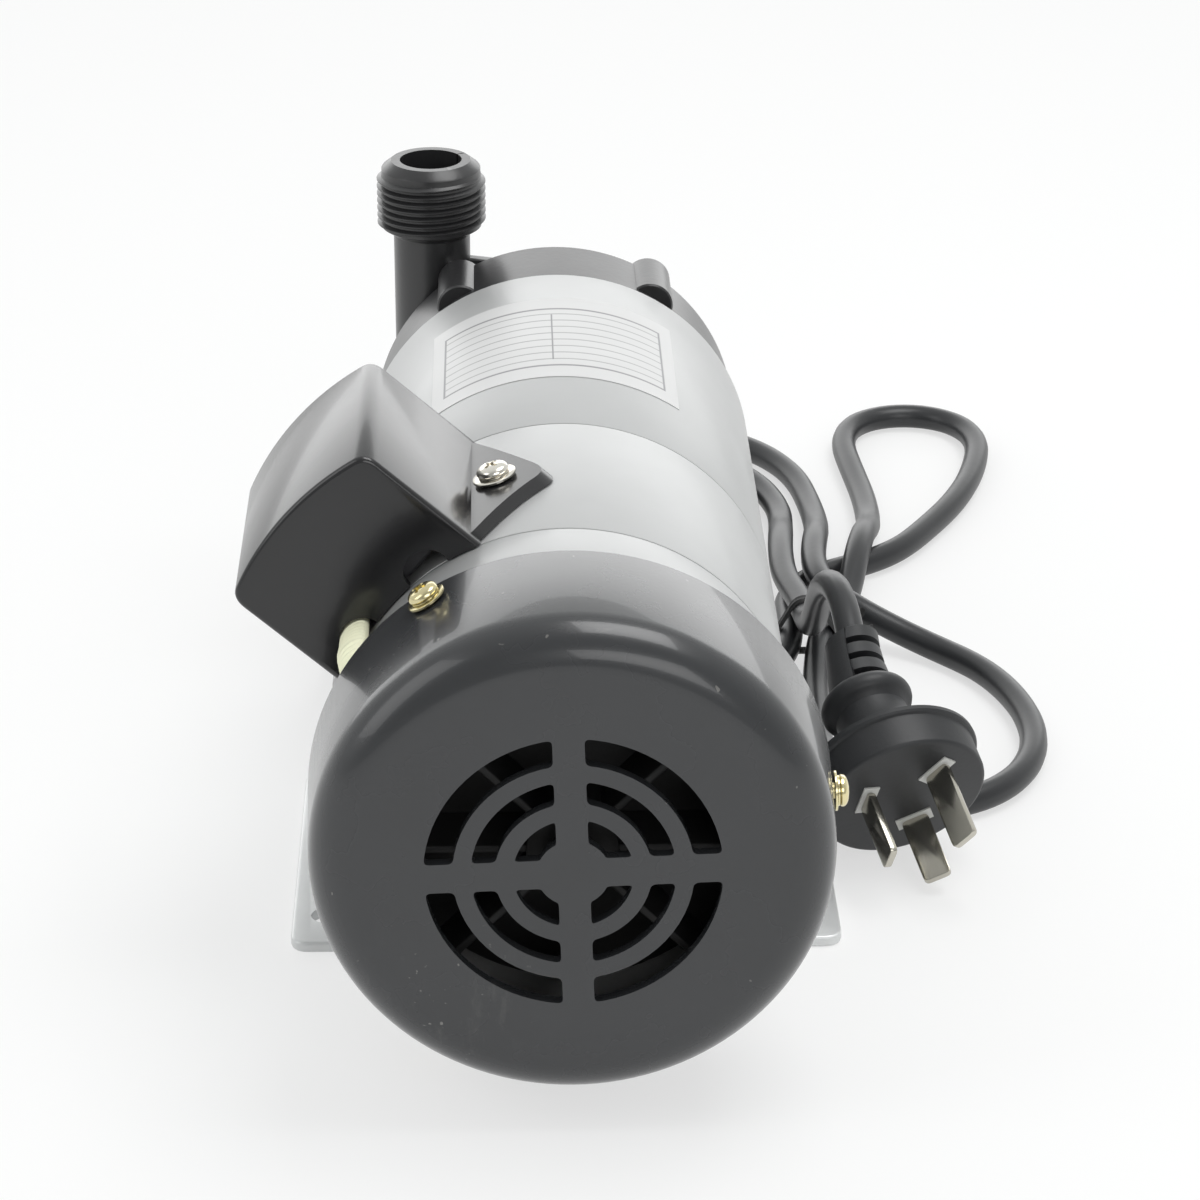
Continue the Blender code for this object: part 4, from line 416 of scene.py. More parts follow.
LEAD_SKIN = Finish("lead_skin", "cord_black", (0.024, 0.025, 0.027), 0.36, clouding=0.10, grain=0.02 * MM,
                   grain_scale=500.0)
SOFT_RUBBER = Finish("soft_rubber", "rubber", (0.022, 0.022, 0.022), 0.58, grain=0.03 * MM,
                     grain_scale=1400.0)
CREAM = Finish("cream_sleeve", "cream_sleeve", (0.95, 0.95, 0.70), 0.5, clouding=0.03)
FILM_CASE = Finish("capacitor_case", "capacitor_case", (0.07, 0.07, 0.075), 0.3, coat=0.3)

YELLOW_ZINC = Finish("yellow_zinc", "yellow_zinc", (0.78, 0.70, 0.42), 0.2, metallic=1.0, clouding=0.16,
                     grain=0.01 * MM, grain_scale=1200.0)
NICKEL = Finish("nickel", "nickel", (0.80, 0.77, 0.70), 0.2, metallic=1.0, clouding=0.10, grain=0.01 * MM,
                grain_scale=1200.0)
# The pins' nickel is painted darker than NICKEL: a painted dark reflection of the dark surroundings on the
# blades' faces.
DARK_REFLECTION_PIN_NICKEL = Finish("pin_nickel_painted_dark_reflection", "nickel", (0.50, 0.48, 0.42), 0.22, metallic=1.0, clouding=0.14,
                   grain=0.008 * MM)
STEEL = TurnedMetal("turned_steel", "steel", (0.56, 0.56, 0.57), 0.3, metallic=1.0, clouding=0.06,
                    grain=0.01 * MM)
ZINC_STEEL = Finish("zinc_steel", "steel", (0.62, 0.62, 0.63), 0.26, metallic=1.0, clouding=0.12,
                    grain=0.01 * MM)
LAMINATED = Banded("laminated_steel", "laminated_steel", (0.33, 0.33, 0.35), 0.45, metallic=0.9,
                   grain=0.06 * MM, pitch=0.5 * MM)
COPPER = Banded("copper_wire", "copper_wire", (0.72, 0.31, 0.16), 0.32, metallic=0.85, coat=0.5,
                grain=0.25 * MM, pitch=0.8 * MM, band=0.45)
CAST = Finish("cast_aluminium", "cast_aluminium", (0.68, 0.68, 0.69), 0.5, metallic=0.9, clouding=0.12,
              grain=0.08 * MM, grain_scale=500.0)

FERRITE = Finish("ferrite", "ferrite", (0.07, 0.07, 0.075), 0.6, clouding=0.15, grain=0.05 * MM)
CERAMIC = Finish("ceramic", "ceramic", (0.86, 0.84, 0.78), 0.22, coat=0.4, clouding=0.03, grain=0.005 * MM)
CARBON = Finish("carbon", "carbon", (0.045, 0.045, 0.05), 0.36, clouding=0.2, grain=0.02 * MM)


# Shapes

def shown(name: str, data: bpy.types.ID) -> bpy.types.Object:
    """Make an object of some data and put it in the scene."""
    made = bpy.data.objects.new(name, data)
    bpy.context.scene.collection.objects.link(made)
    return made


def quads(rows: int, columns: int, close_rows: bool, close_columns: bool) -> Array:
    """Return the four corners of every cell of a grid of points.

    Args:
        rows: how many rows of points there are.
        columns: how many points a row has.
        close_rows: whether the last row joins the first.
        close_columns: whether the last column joins the first.

    Returns:
        An array of corner numbers, one line for each cell.
    """
    i = np.arange(rows if close_rows else rows - 1)[:, None]
    j = np.arange(columns if close_columns else columns - 1)[None, :]
    below, beside = (i + 1) % rows, (j + 1) % columns
    corners = (i * columns + j, i * columns + beside, below * columns + beside, below * columns + j)
    return np.stack(np.broadcast_arrays(*corners), -1).reshape(-1, 4)


def capped(rings: int, count: int) -> list[list[int]]:
    """Return the faces of a run of closed rings of points, with a flat cap at each end."""
    last = (rings - 1) * count
    ends = [list(range(count))[::-1], list(range(last, last + count))]
    return quads(rings, count, False, True).tolist() + ends


def cleaned(points: Array, faces: Sequence[Sequence[int]]) -> bpy.types.Mesh:
    """Return a mesh of points and faces with its doubles merged and its faces turned outwards."""
    mesh = bpy.data.meshes.new("form")
    mesh.from_pydata(points.reshape(-1, 3).tolist(), [], [list(face) for face in faces])
    shape = bmesh.new()
    shape.from_mesh(mesh)
    bmesh.ops.remove_doubles(shape, verts=shape.verts, dist=1e-6)
    bmesh.ops.dissolve_degenerate(shape, edges=shape.edges, dist=1e-7)
    bmesh.ops.recalc_face_normals(shape, faces=shape.faces)
    shape.to_mesh(mesh)
    shape.free()
    return mesh


def arc(centre: Sequence[float], radius: float, start: float, end: float, count: int) -> Array:
    """Return points on an arc: centre plus radius times (cos t, sin t).

    Args:
        centre: the arc's centre.
        radius: its radius.
        start: the first angle.
        end: the last angle.
        count: how many points it has.

    Returns:
        The points.
    """
    t = np.linspace(start, end, count)
    return np.stack((centre[0] + radius * np.cos(t), centre[1] + radius * np.sin(t)), -1)


def path_of(*runs: object) -> Array:
    """Join points and runs of points to one array."""
    return np.vstack([np.atleast_2d(np.asarray(run, dtype=float)) for run in runs])


def curve_round(first: Array, corner: Array, last: Array, s: Array) -> Array:
    """Return the curve (1-s)^2 A + 2 s (1-s) C + s^2 B from A to B round the corner C."""
    return (1 - s) ** 2 * first + 2 * s * (1 - s) * corner + s ** 2 * last


def softened(profile: Array, radius: float, count: int = 4, closed: bool = True) -> Array:
    """Round every corner of a profile with curve_round, between two points a little back from it.

    Args:
        profile: the corners, as (axial, radial) or (x, y).
        radius: how far back from a corner its arc starts, at most 0.45 of a side.
        count: how many points each arc gets.
        closed: whether the profile is a ring; the ends of an open one stay.

    Returns:
        The rounded profile.
    """
    here = np.asarray(profile, dtype=float)
    back = np.roll(here, 1, 0) - here
    ahead = np.roll(here, -1, 0) - here
    length_back = np.linalg.norm(back, axis=1, keepdims=True)
    length_ahead = np.linalg.norm(ahead, axis=1, keepdims=True)
    a = here + back / length_back * np.minimum(radius, 0.45 * length_back)
    b = here + ahead / length_ahead * np.minimum(radius, 0.45 * length_ahead)
    s = np.linspace(0.0, 1.0, count)[None, :, None]
    bent = curve_round(a[:, None], here[:, None], b[:, None], s)
    if closed:
        return bent.reshape(-1, 2)
    return path_of(here[0], bent[1:-1].reshape(-1, 2), here[-1])


def lathe(profile: Array, segments: int = FINE) -> bpy.types.Mesh:
    """Turn an (axial, radial) profile about the Z axis.

    The point (a, r) goes round as (r cos t, r sin t, a). A profile whose ends are both on the axis is
    closed by its poles, and any other is a closed ring.

    Args:
        profile: the profile's points.
        segments: how many steps a turn has.

    Returns:
        A closed mesh.
    """
    profile = np.asarray(profile, dtype=float)
    ring = not (profile[0, 1] == 0.0 and profile[-1, 1] == 0.0)
    t = np.arange(segments) * (TURN / segments)
    a, r = profile[:, :1], profile[:, 1:]
    points = np.stack((r * np.cos(t), r * np.sin(t), np.broadcast_to(a, (len(a), segments))), -1)
    return cleaned(points, quads(len(profile), segments, ring, True))


def ring_of(start: float, end: float, inner: float, outer: float, segments: int = FINE,
            edge: float = 0.0) -> bpy.types.Mesh:
    """Return a tube's wall about the Z axis.

    Args:
        start: where the tube begins.
        end: where it ends.
        inner: its inner radius.
        outer: its outer radius.
        segments: how many steps a turn has.
        edge: how far its edges are rounded.

    Returns:
        A closed mesh.
    """
    corners = np.array([(start, inner), (start, outer), (end, outer), (end, inner)])
    return lathe(softened(corners, edge) if edge else corners, segments)


def rod(start: float, end: float, radius: float, segments: int = 32) -> bpy.types.Mesh:
    """Return a plain round bar about the Z axis.

    Args:
        start: where the bar begins.
        end: where it ends.
        radius: its radius.
        segments: how many steps a turn has.

    Returns:
        A closed mesh.
    """
    return lathe(np.array([(start, 0.0), (start, radius), (end, radius), (end, 0.0)]), segments)


def prism(outline: Array, levels: Sequence[tuple[float, float]]) -> bpy.types.Mesh:
    """Carry a closed outline up through levels, drawn in at each by an inset along its normals.

    The ring at height h is the outline minus inset times the outward normal.

    Args:
        outline: the outline's (x, y) points, counter-clockwise.
        levels: (height, inset) for each ring.

    Returns:
        A closed mesh with a flat cap at each end.
    """
    outline = np.asarray(outline, dtype=float)
    ahead = np.roll(outline, -1, 0) - outline
    ahead /= np.linalg.norm(ahead, axis=1, keepdims=True)
    outward = np.stack((ahead[:, 1], -ahead[:, 0]), -1)
    corner = outward + np.roll(outward, 1, 0)
    corner /= np.maximum(1e-9, (corner ** 2).sum(1, keepdims=True)) / 2
    heights = np.array([level[0] for level in levels])
    insets = np.array([level[1] for level in levels])
    flat = outline[None] - insets[:, None, None] * corner[None]
    points = np.concatenate((flat, np.broadcast_to(heights[:, None, None], (*flat.shape[:2], 1))), -1)
    return cleaned(points, capped(len(levels), len(outline)))


def eased(low: float, high: float, edge: float, count: int = 4) -> list[tuple[float, float]]:
    """Return a prism's levels with both rims rounded to a quarter circle.

    Args:
        low: the lower end's height.
        high: the upper end's height.
        edge: the rims' radius.
        count: how many levels each rim gets.

    Returns:
        The height and the inset of each level.
    """
    t = np.linspace(0.0, math.pi / 2, count)
    inset = edge * (1 - np.sin(t))
    rise = edge * (1 - np.cos(t))
    return list(zip(low + rise, inset)) + list(zip(high - rise[::-1], inset[::-1]))


def lengths_along(line: Array) -> Array:
    """Return how far along a line each of its points lies."""
    return np.concatenate(([0.0], np.cumsum(np.linalg.norm(np.diff(line, axis=0), axis=1))))


def evened(line: Array, count: int, passes: int) -> Array:
    """Return evenly spaced points of a line, eased as a stiff lead evens out its bends.

    Args:
        line: the line's points.
        count: how many points to return.
        passes: how many times each point is drawn half way to the middle of its neighbours.

    Returns:
        The points.
    """
    walked = lengths_along(line)
    marks = np.linspace(0.0, walked[-1], count)
    even = np.column_stack([np.interp(marks, walked, line[:, k]) for k in range(line.shape[1])])
    for _ in range(passes):
        even[1:-1] = (even[:-2] + 2 * even[1:-1] + even[2:]) / 4
    return even


def swept(path: Array, side: Array, section: Array, scale: Optional[Array] = None) -> bpy.types.Mesh:
    """Carry a closed section along a path that lies in one plane.

    The section's x runs along the plane's normal, and its y along that normal crossed with the tangent.

    Args:
        path: the path's points.
        side: the plane's normal.
        section: the section's points.
        scale: the section's size at each point of the path.

    Returns:
        A closed mesh with a flat cap at each end.
    """
    tangent = np.gradient(path, axis=0)
    tangent /= np.linalg.norm(tangent, axis=1, keepdims=True)
    across = np.asarray(side, dtype=float) / np.linalg.norm(side)
    upright = np.cross(tangent, across)
    size = np.ones(len(path)) if scale is None else np.asarray(scale)
    grown = section[None] * size[:, None, None]
    points = path[:, None] + grown[..., :1] * across + grown[..., 1:] * upright[:, None]
    return cleaned(points, capped(len(path), len(section)))


def oval(width: float, height: float, count: int) -> Array:
    """Return an ellipse: (w/2 cos t, h/2 sin t)."""
    return arc((0.0, 0.0), 1.0, 0.0, TURN * (1 - 1 / count), count) * (width / 2, height / 2)


def helix_ridge(core: float, crest: float, low: float, high: float, pitch: float) -> bpy.types.Mesh:
    """Return a thread: a ridge of triangular section carried up a helix.

    A point of the section (a, r) goes to (r cos t, r sin t, low + a + pitch t / turn); the ridge sinks
    into its core at both ends.

    Args:
        core: the radius inside the core where the ridge starts.
        crest: the radius of the ridge's top.
        low: the height of the first turn.
        high: the height where the last turn ends.
        pitch: the rise of one turn.

    Returns:
        A closed mesh.
    """
    turns = (high - low) / pitch - 1.0
    t = np.linspace(0.0, turns * TURN, int(turns * 64))
    ease = np.clip(np.minimum(t, t[-1] - t) / (TURN / 3), 0.0, 1.0)
    top = core + (crest - core) * ease
    flank, flat = 0.47 * pitch, 0.07 * pitch
    rise = np.array([-flank, -flat, flat, flank]) + flank
    radius = np.stack((np.full_like(t, core), top, top, np.full_like(t, core)), -1)
    height = low + rise[None] + (pitch / TURN) * t[:, None]
    points = np.stack((radius * np.cos(t)[:, None], radius * np.sin(t)[:, None], height), -1)
    return cleaned(points, capped(len(t), len(rise)))


def box_mesh(size: Sequence[float], centre: Sequence[float] = (0.0, 0.0, 0.0),
             edge: float = 0.0) -> bpy.types.Mesh:
    """Return a block with its edges rounded, the rims finer than the upright edges.

    Args:
        size: the block's size along each axis.
        centre: where its middle is.
        edge: the rims' radius, or 0 for sharp edges.

    Returns:
        A closed mesh.
    """
    x, y, z = (value / 2 for value in size)
    corners = np.array([(-x, -y), (x, -y), (x, y), (-x, y)])
    rim = min(edge, 0.5 * min(x, y))
    outline = softened(corners, 1.7 * rim, 5) if edge else corners
    levels = eased(-z, z, rim) if edge else [(-z, 0.0), (z, 0.0)]
    return moved(prism(outline, levels), Matrix.Translation(centre))


def moved(mesh: bpy.types.Mesh, place: Matrix) -> bpy.types.Mesh:
    """Return the mesh carried to its place."""
    mesh.transform(place)
    return mesh


def twin(mesh: bpy.types.Mesh, place: Matrix) -> bpy.types.Mesh:
    """Return a copy of the mesh at another place."""
    return moved(mesh.copy(), place)


def together(meshes: Iterable[bpy.types.Mesh]) -> bpy.types.Mesh:
    """Put meshes in one, as they lie."""
    whole = bmesh.new()
    for mesh in meshes:
        whole.from_mesh(mesh)
    result = bpy.data.meshes.new("group")
    whole.to_mesh(result)
    whole.free()
    return result


def copies(mesh: bpy.types.Mesh, places: Iterable[Matrix]) -> bpy.types.Mesh:
    """Return one mesh that holds a copy of a mesh at each place."""
    return together([twin(mesh, place) for place in places])


def carved(mesh: bpy.types.Mesh, *steps: tuple[Op, bpy.types.Mesh]) -> bpy.types.Mesh:
    """Work a mesh with tools, one after another.

    Args:
        mesh: the mesh to work on.
        steps: what each tool does, and its mesh.

    Returns:
        The worked mesh.
    """
    piece = shown("work", mesh)
    tools = []
    for op, tool_mesh in steps:
        tool = shown("tool", tool_mesh)
        change = piece.modifiers.new(op.value, "BOOLEAN")
        change.operation = op.value
        change.solver = "EXACT"
        change.object = tool
        tools.append(tool)
    bpy.context.view_layer.update()
    graph = bpy.context.evaluated_depsgraph_get()
    result = bpy.data.meshes.new_from_object(piece.evaluated_get(graph))
    for used in (piece, *tools):
        bpy.data.objects.remove(used, do_unlink=True)
    return result


def lying() -> Matrix:
    """Return the turn that lays a shape's Z axis along the motor, at the motor's height."""
    return Matrix.Translation((0.0, 0.0, AXIS_HEIGHT)) @ Matrix.Rotation(-math.pi / 2, 4, "X")


def out_from_axis(angle: float, y: float) -> Matrix:
    """Return the turn that lays a shape's Z axis outwards from the motor's axis."""
    return Matrix.Translation((0.0, y, AXIS_HEIGHT)) @ Matrix.Rotation(math.pi / 2 - angle, 4, "Y")


def on_circle(circle: float, angles: Iterable[float]) -> list[Matrix]:
    """Return places on a circle about the motor's axis, each with its Z axis along the motor."""
    return [lying() @ Matrix.Translation((circle * math.cos(a), -circle * math.sin(a), 0.0))
            for a in angles]


def tie_bolts() -> list[Matrix]:
    """Return the places of the bolts that hold the two bells together."""
    return on_circle(TIE_BOLT_CIRCLE, np.radians(TIE_BOLT_ANGLES))


def casing_screws() -> list[Matrix]:
    """Return the places of the screws that hold the pump's casings to the motor."""
    return on_circle(CASING_CIRCLE, np.radians(CASING_ANGLES))


def foot_screws() -> list[Matrix]:
    """Return the places of the screws between the foot and the shell."""
    return [out_from_axis(a, FOOT_SCREW_Y) for a in np.radians(FOOT_SCREW_ANGLES)]


def shell_drills(places: Iterable[Matrix]) -> bpy.types.Mesh:
    """Return the cutters for screw holes through the shell and what seats on it."""
    return copies(rod(42.0 * MM, 52.0 * MM, SHELL_HOLE, COARSE), places)


@dataclass
class Bench:
    """Turns finished meshes into pieces that ride on a body."""

    body: str = "base"
    smooth_below: float = math.radians(32.0)

    def piece(self, name: str, mesh: bpy.types.Mesh, finish: Finish, *nodes: str) -> bpy.types.Object:
        """Make a piece.

        Args:
            name: the piece's name.
            mesh: its mesh, in its place.
            finish: its finish.
            nodes: the CAD nodes that it stands for.

        Returns:
            The new object.
        """
        mesh.name = name
        mesh.materials.clear()
        mesh.materials.append(finish.material())
        mesh.shade_smooth()
        mesh.set_sharp_from_angle(angle=self.smooth_below)
        made = shown(name, mesh)
        self.fit(made, finish, *nodes)
        LOG.info("%s: %d faces", name, len(mesh.polygons))
        return made

    def fit(self, made: bpy.types.Object, finish: Finish, *nodes: str) -> None:
        """Ride a made object on the body and hide the CAD nodes that it stands for.

        Args:
            made: the object.
            finish: the finish it has; not used.
            nodes: the CAD nodes that it stands for.
        """
        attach(made, self.body)
        if nodes:
            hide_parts(*nodes)


# Stage

@dataclass
class Studio:
    """The camera, the pale floor and the soft light."""

    focal_px: float = 3786.34
    image_px: float = 1200.0
    sensor_mm: float = 36.0
    spot: tuple[float, float, float] = (-0.012381, -0.744069, 0.404138)
    pitch: float = 0.428782
    yaw: float = 0.0273345
    roll: float = 0.0022134
    floor_half: float = 4.0
    floor_colour: Colour = (0.86, 0.865, 0.86)
    backdrop_share: float = 0.62
    front_level: float = 0.42
    back_level: float = 0.85
    level_span: tuple[float, float] = (-0.8, 0.7)
    sky_colour: Colour = (0.97, 0.985, 0.98)
    target: tuple[float, float, float] = (0.0, 0.0, 0.05)
    lamps: tuple[tuple[str, tuple[float, float, float], tuple[float, float], float], ...] = (
        ("top_softbox", (0.35, 0.05, 1.15), (0.65, 0.65), 6.0),
        ("left_softbox", (-1.1, -0.35, 0.75), (0.7, 0.9), 3.0),
        ("front_fill", (0.5, -1.4, 0.8), (1.0, 0.6), 4.5),
        ("back_panel", (-0.3, 2.6, 0.6), (4.5, 1.5), 28.0),
    )

    def build(self) -> None:
        """Make the camera, the floor, the world and the lamps."""
        self.camera()
        self.floor()
        self.world()
        for name, spot, size, power in self.lamps:
            self.lamp(name, spot, size, power)
        LOG.info("studio set up")

    def camera(self) -> None:
        """Set up the camera at the photograph's viewing angle."""
        flat = math.cos(self.pitch)
        ahead = Vector((math.sin(self.yaw) * flat, math.cos(self.yaw) * flat, -math.sin(self.pitch)))
        right = Vector((math.cos(self.yaw), -math.sin(self.yaw), 0.0))
        up = right.cross(ahead)
        level, tilt = math.cos(self.roll), math.sin(self.roll)
        turned = (right * level + up * tilt, right * -tilt + up * level, -ahead)
        data = bpy.data.cameras.new("camera")
        data.sensor_width = self.sensor_mm
        data.lens = self.focal_px / self.image_px * data.sensor_width
        data.clip_start = 0.02
        data.clip_end = 30.0
        camera = shown("camera", data)
        camera.matrix_world = Matrix.Translation(self.spot) @ Matrix(turned).transposed().to_4x4()
        bpy.context.scene.camera = camera
        bpy.context.scene.view_settings.view_transform = "Standard"

    def floor(self) -> None:
        """Make the floor, which glows for the camera and keeps the object's shadow."""
        half = self.floor_half
        corners = [(-half, -half, 0.0), (half, -half, 0.0), (half, half, 0.0), (-half, half, 0.0)]
        mesh = bpy.data.meshes.new("floor")
        mesh.from_pydata(corners, [], [(0, 1, 2, 3)])
        paint = Paint("floor")
        paint.feed("Base Color", self.floor_colour)
        paint.feed("Roughness", 0.9)
        paint.feed("Specular IOR Level", 0.1)
        rays = [paint.node("ShaderNodeLightPath", {}, {}, kind)
                for kind in ("Is Camera Ray", "Is Glossy Ray")]
        seen = rays[0].worked("MAXIMUM", *rays)
        glow = paint.node("ShaderNodeEmission", {}, {"Color": (1.0, 1.0, 1.0, 1.0), "Strength": 1.0})
        mixed = paint.node("ShaderNodeMixShader", {}, {0: seen * self.backdrop_share,
                                                       1: Value(paint, paint.shader.outputs[0]), 2: glow})
        paint.put(paint.tree.nodes["Material Output"].inputs["Surface"], mixed)
        mesh.materials.append(paint.material)
        shown("floor", mesh)

    def world(self) -> None:
        """Make the pale surroundings: white to the camera, and brighter behind the pump than before it."""
        world = bpy.data.worlds.new("surroundings")
        bpy.context.scene.world = world
        sky = Nodes(world)
        towards = sky.node("ShaderNodeTexCoord", {}, {}, "Generated")
        ahead = sky.node("ShaderNodeSeparateXYZ", {}, {0: towards}, "Y")
        start, end = self.level_span
        depth = sky.node("ShaderNodeMapRange", {"interpolation_type": "SMOOTHSTEP"},
                         {"Value": ahead, "From Min": start, "From Max": end, "To Min": self.front_level,
                          "To Max": self.back_level})
        seen = sky.node("ShaderNodeLightPath", {}, {}, "Is Camera Ray")
        back = sky.tree.nodes["Background"]
        sky.put(back.inputs["Strength"], sky.node("ShaderNodeMix", {}, {0: seen, 2: depth, 3: 1.0}))
        sky.put(back.inputs["Color"], (*self.sky_colour, 1.0))

    def lamp(self, name: str, spot: Sequence[float], size: Sequence[float], power: float) -> None:
        """Hang one soft lamp that looks at the pump.

        Args:
            name: the lamp's name.
            spot: where it hangs.
            size: its width and height.
            power: its power in watts.
        """
        data = bpy.data.lights.new(name, "AREA")
        data.shape = "RECTANGLE"
        data.size, data.size_y = size
        data.energy = power
        towards = Vector(self.target) - Vector(spot)
        turn = towards.to_track_quat("-Z", "Y").to_matrix().to_4x4()
        shown(name, data).matrix_world = Matrix.Translation(spot) @ turn


# Mains lead

@dataclass
class MainsLead:
    """The lead from the gland to the plug, with its strain relief, its tie and the plug."""

    bench: Bench
    radius: float = 3.3 * MM
    floor: float = 3.65
    step: float = 2.5 * MM
    passes: int = 8
    buried: float = 4.0 * MM
    length: float = 1.93
    gland_spot: tuple[float, float, float] = (-43.5065 * MM, -2.0 * MM, 96.3561 * MM)
    gland_length: float = 22.0 * MM
    tie_y: float = 103.0 * MM
    tie_width: float = 3.4 * MM
    tie_clearance: float = 0.35 * MM
    tie_rest: float = 0.5 * MM
    tie_crown: tuple[tuple[float, float], ...] = ((0.0, 0.25 * MM), (0.3 * MM, -0.1 * MM),
                                                  (0.8 * MM, -0.45 * MM))
    tie_middle: float = -0.2 * MM
    plug_face: tuple[float, float, float] = (74.8 * MM, -6.4 * MM, 18.3 * MM)
    plug_azimuth: float = math.radians(15.2)
    plug_tilt: float = math.radians(24.1)
    plug_roll: float = math.radians(144.2)
    plug_radius: float = 18.9 * MM
    plug_length: float = 46.5 * MM
    collar: float = 26.8 * MM
    relief_bend: float = 9.0

    def build(self) -> None:
        """Make every piece of the lead."""
        relief = self.relief()
        plug = self.plug()
        tie = self.tie()
        self.cord()

    def route(self) -> Array:
        """Return the route's own points, from the gland to the plug."""
        flat = self.floor
        down = [(-43.5, 20.7, 96.4), (-43.5, 32, 96.2), (-45.5, 47, 90), (-48.5, 58, 79), (-51.3, 66, 62),
                (-52.5, 73, 42), (-53, 84, 21.5), (-53, 100, 7.5), (-53, 122, flat)]
        behind = [(-53, 150, flat), (-52, 180, flat), (-47, 208, flat), (-33, 233, flat), (-10, 247, flat),
                  (16, 250, flat), (39, 244, flat), (56, 232, flat), (66, 214, flat), (69.5, 192, flat)]
        beside = [(69.8, 172, 5.6), (68, 155, 10.2), (66.3, 139, 10.9), (67.6, 124, 10.9),
                  (74.5, 113.3, 9.6), (84, 108, 6), (94, 101, flat), (103, 90, flat), (109, 76, flat),
                  (112, 59, flat), (110.5, 43, flat), (104, 29, flat), (94, 20, flat), (83, 16.5, flat),
                  (72, 16, 4)]
        under = [(60, 17.3, 6.4), (47, 21.5, 6.4), (37.5, 31, 6.4), (34.3, 43, 6.7), (34.5, 57, 4.5),
                 (39, 70, flat), (48, 82, flat), (55, 92, 5.2), (58, 103, 6.3), (58.4, 115, 5.8),
                 (58.6, 127, flat), (62, 138.5, flat), (70, 147, flat), (80, 152.5, flat), (90, 161, flat),
                 (99, 175, flat), (109, 194, flat), (116.5, 216, flat)]
        back = [(83, 218, flat), (84.5, 196, flat), (84, 176, 4.6), (80.5, 157, 10.2), (77.5, 143, 9.3),
                (74, 128, 4.6), (68.6, 114, 5.4), (65.6, 103, 6.3), (63.6, 90, 5.2), (62.4, 79, flat),
                (61.8, 68, flat), (61.3, 54, flat), (60.3, 43, 6), (59, 32, 11), (57.6, 20, 13.4),
                (55.4, 8, 10.4)]
        home = [(21.4, 15, 6.4), (21.6, 32, 6.4), (21.6, 45, 6.7), (21, 60, 4.4), (19, 74, flat),
                (14, 94, flat), (6, 120, flat), (-1, 146, flat), (-4.6, 168, flat)]
        up = [(60.5, 174, 4.8), (59.3, 158, 9.5), (58.2, 143, 11.2), (58.2, 127, 11.6), (60.6, 112, 12.6),
              (61.5, 102, 12.9), (61.8, 92, 14.6), (62, 82.5, 21), (62.3, 70.5, 33.6), (63, 61.8, 39.8),
              (64.4, 52.3, 42.4), (65.6, 44.2, 40.8), (66.2, 35.6, 37.2)]
        far_fold = self.bend((101, 238), 18.5, 0, 180, 5)
        near_fold = self.bend((38.2, -3), 16.9, 0, -180, 5, 2.5 + flat)
        coil = (24, 190)
        inner = self.bend(coil, 29, 180, -90, 7)
        lifts = ((31, -112, 5.0), (34.5, -145, 10.6), (36.5, -172, 7.5))
        lifted = [self.bend(coil, radius, angle, angle, 1, height) for radius, angle, height in lifts]
        outer = self.bend(coil, 36.8, 155, 0, 5)
        return MM * path_of(down, behind, beside, under, far_fold, back, near_fold, home, inner, *lifted,
                            outer, up)

    def bend(self, centre: Sequence[float], radius: float, start: float, end: float, count: int,
             height: Optional[float] = None) -> Array:
        """Return a level arc of the route, in millimetres and degrees.

        Args:
            centre: the arc's centre.
            radius: its radius.
            start: the first angle.
            end: the last angle.
            count: how many points it has.
            height: how high it lies, or on the ground.

        Returns:
            The points.
        """
        flat = arc(centre, radius, math.radians(start), math.radians(end), count)
        rise = self.floor if height is None else height
        return np.column_stack((flat, np.full(count, rise)))

    def smooth(self, route: Array, fine: int = 16) -> Array:
        """Return evenly spaced points on the centripetal Catmull-Rom curve through the route.

        Each stretch blends its four nearest points, with knots spaced by the square root of their
        distances, and the curve is then measured off in equal steps and eased.

        Args:
            route: the points that the curve passes through.
            fine: how many steps each stretch is worked out in.

        Returns:
            The points.
        """
        ends = path_of(2 * route[0] - route[1], route, 2 * route[-1] - route[-2])
        a, b, c, d = ends[:-3], ends[1:-2], ends[2:-1], ends[3:]
        knots = [np.sqrt(np.linalg.norm(far - near, axis=1)) for near, far in ((a, b), (b, c), (c, d))]
        tb, tc, td = np.cumsum(knots, axis=0)[..., None, None]
        t = tb + (tc - tb) * (np.arange(fine) / fine)[None, :, None]
        a, b, c, d = (points[:, None] for points in (a, b, c, d))
        first = a + (b - a) * (t / tb)
        second = b + (c - b) * ((t - tb) / (tc - tb))
        third = c + (d - c) * ((t - tc) / (td - tc))
        left = first + (second - first) * (t / tc)
        right = second + (third - second) * ((t - tb) / (td - tb))
        curve = left + (right - left) * ((t - tb) / (tc - tb))
        line = path_of(curve.reshape(-1, 3), route[-1])
        return evened(line, int(lengths_along(line)[-1] / self.step), self.passes)

    def cord(self) -> None:
        points = self.smooth(self.route())
        first = points[0] + (points[0] - points[1]) * (self.buried / self.step)
        last = points[-1] + (points[-1] - points[-2]) * (self.buried / self.step)
        points = path_of(first, points, last)
        curve = bpy.data.curves.new("mains_lead", "CURVE")
        curve.dimensions = "3D"
        curve.bevel_depth = self.radius
        curve.bevel_resolution = 6
        curve.use_fill_caps = True
        spline = curve.splines.new("POLY")
        spline.points.add(len(points) - 1)
        spline.points.foreach_set("co", np.column_stack((points, np.ones(len(points)))).ravel())
        spline.use_smooth = True
        curve.materials.append(LEAD_SKIN.material())
        lead = shown("mains_lead", curve)
        self.bench.fit(lead, LEAD_SKIN, "power_cord")
        LOG.info("mains lead: %.3f m", lengths_along(points)[-1])

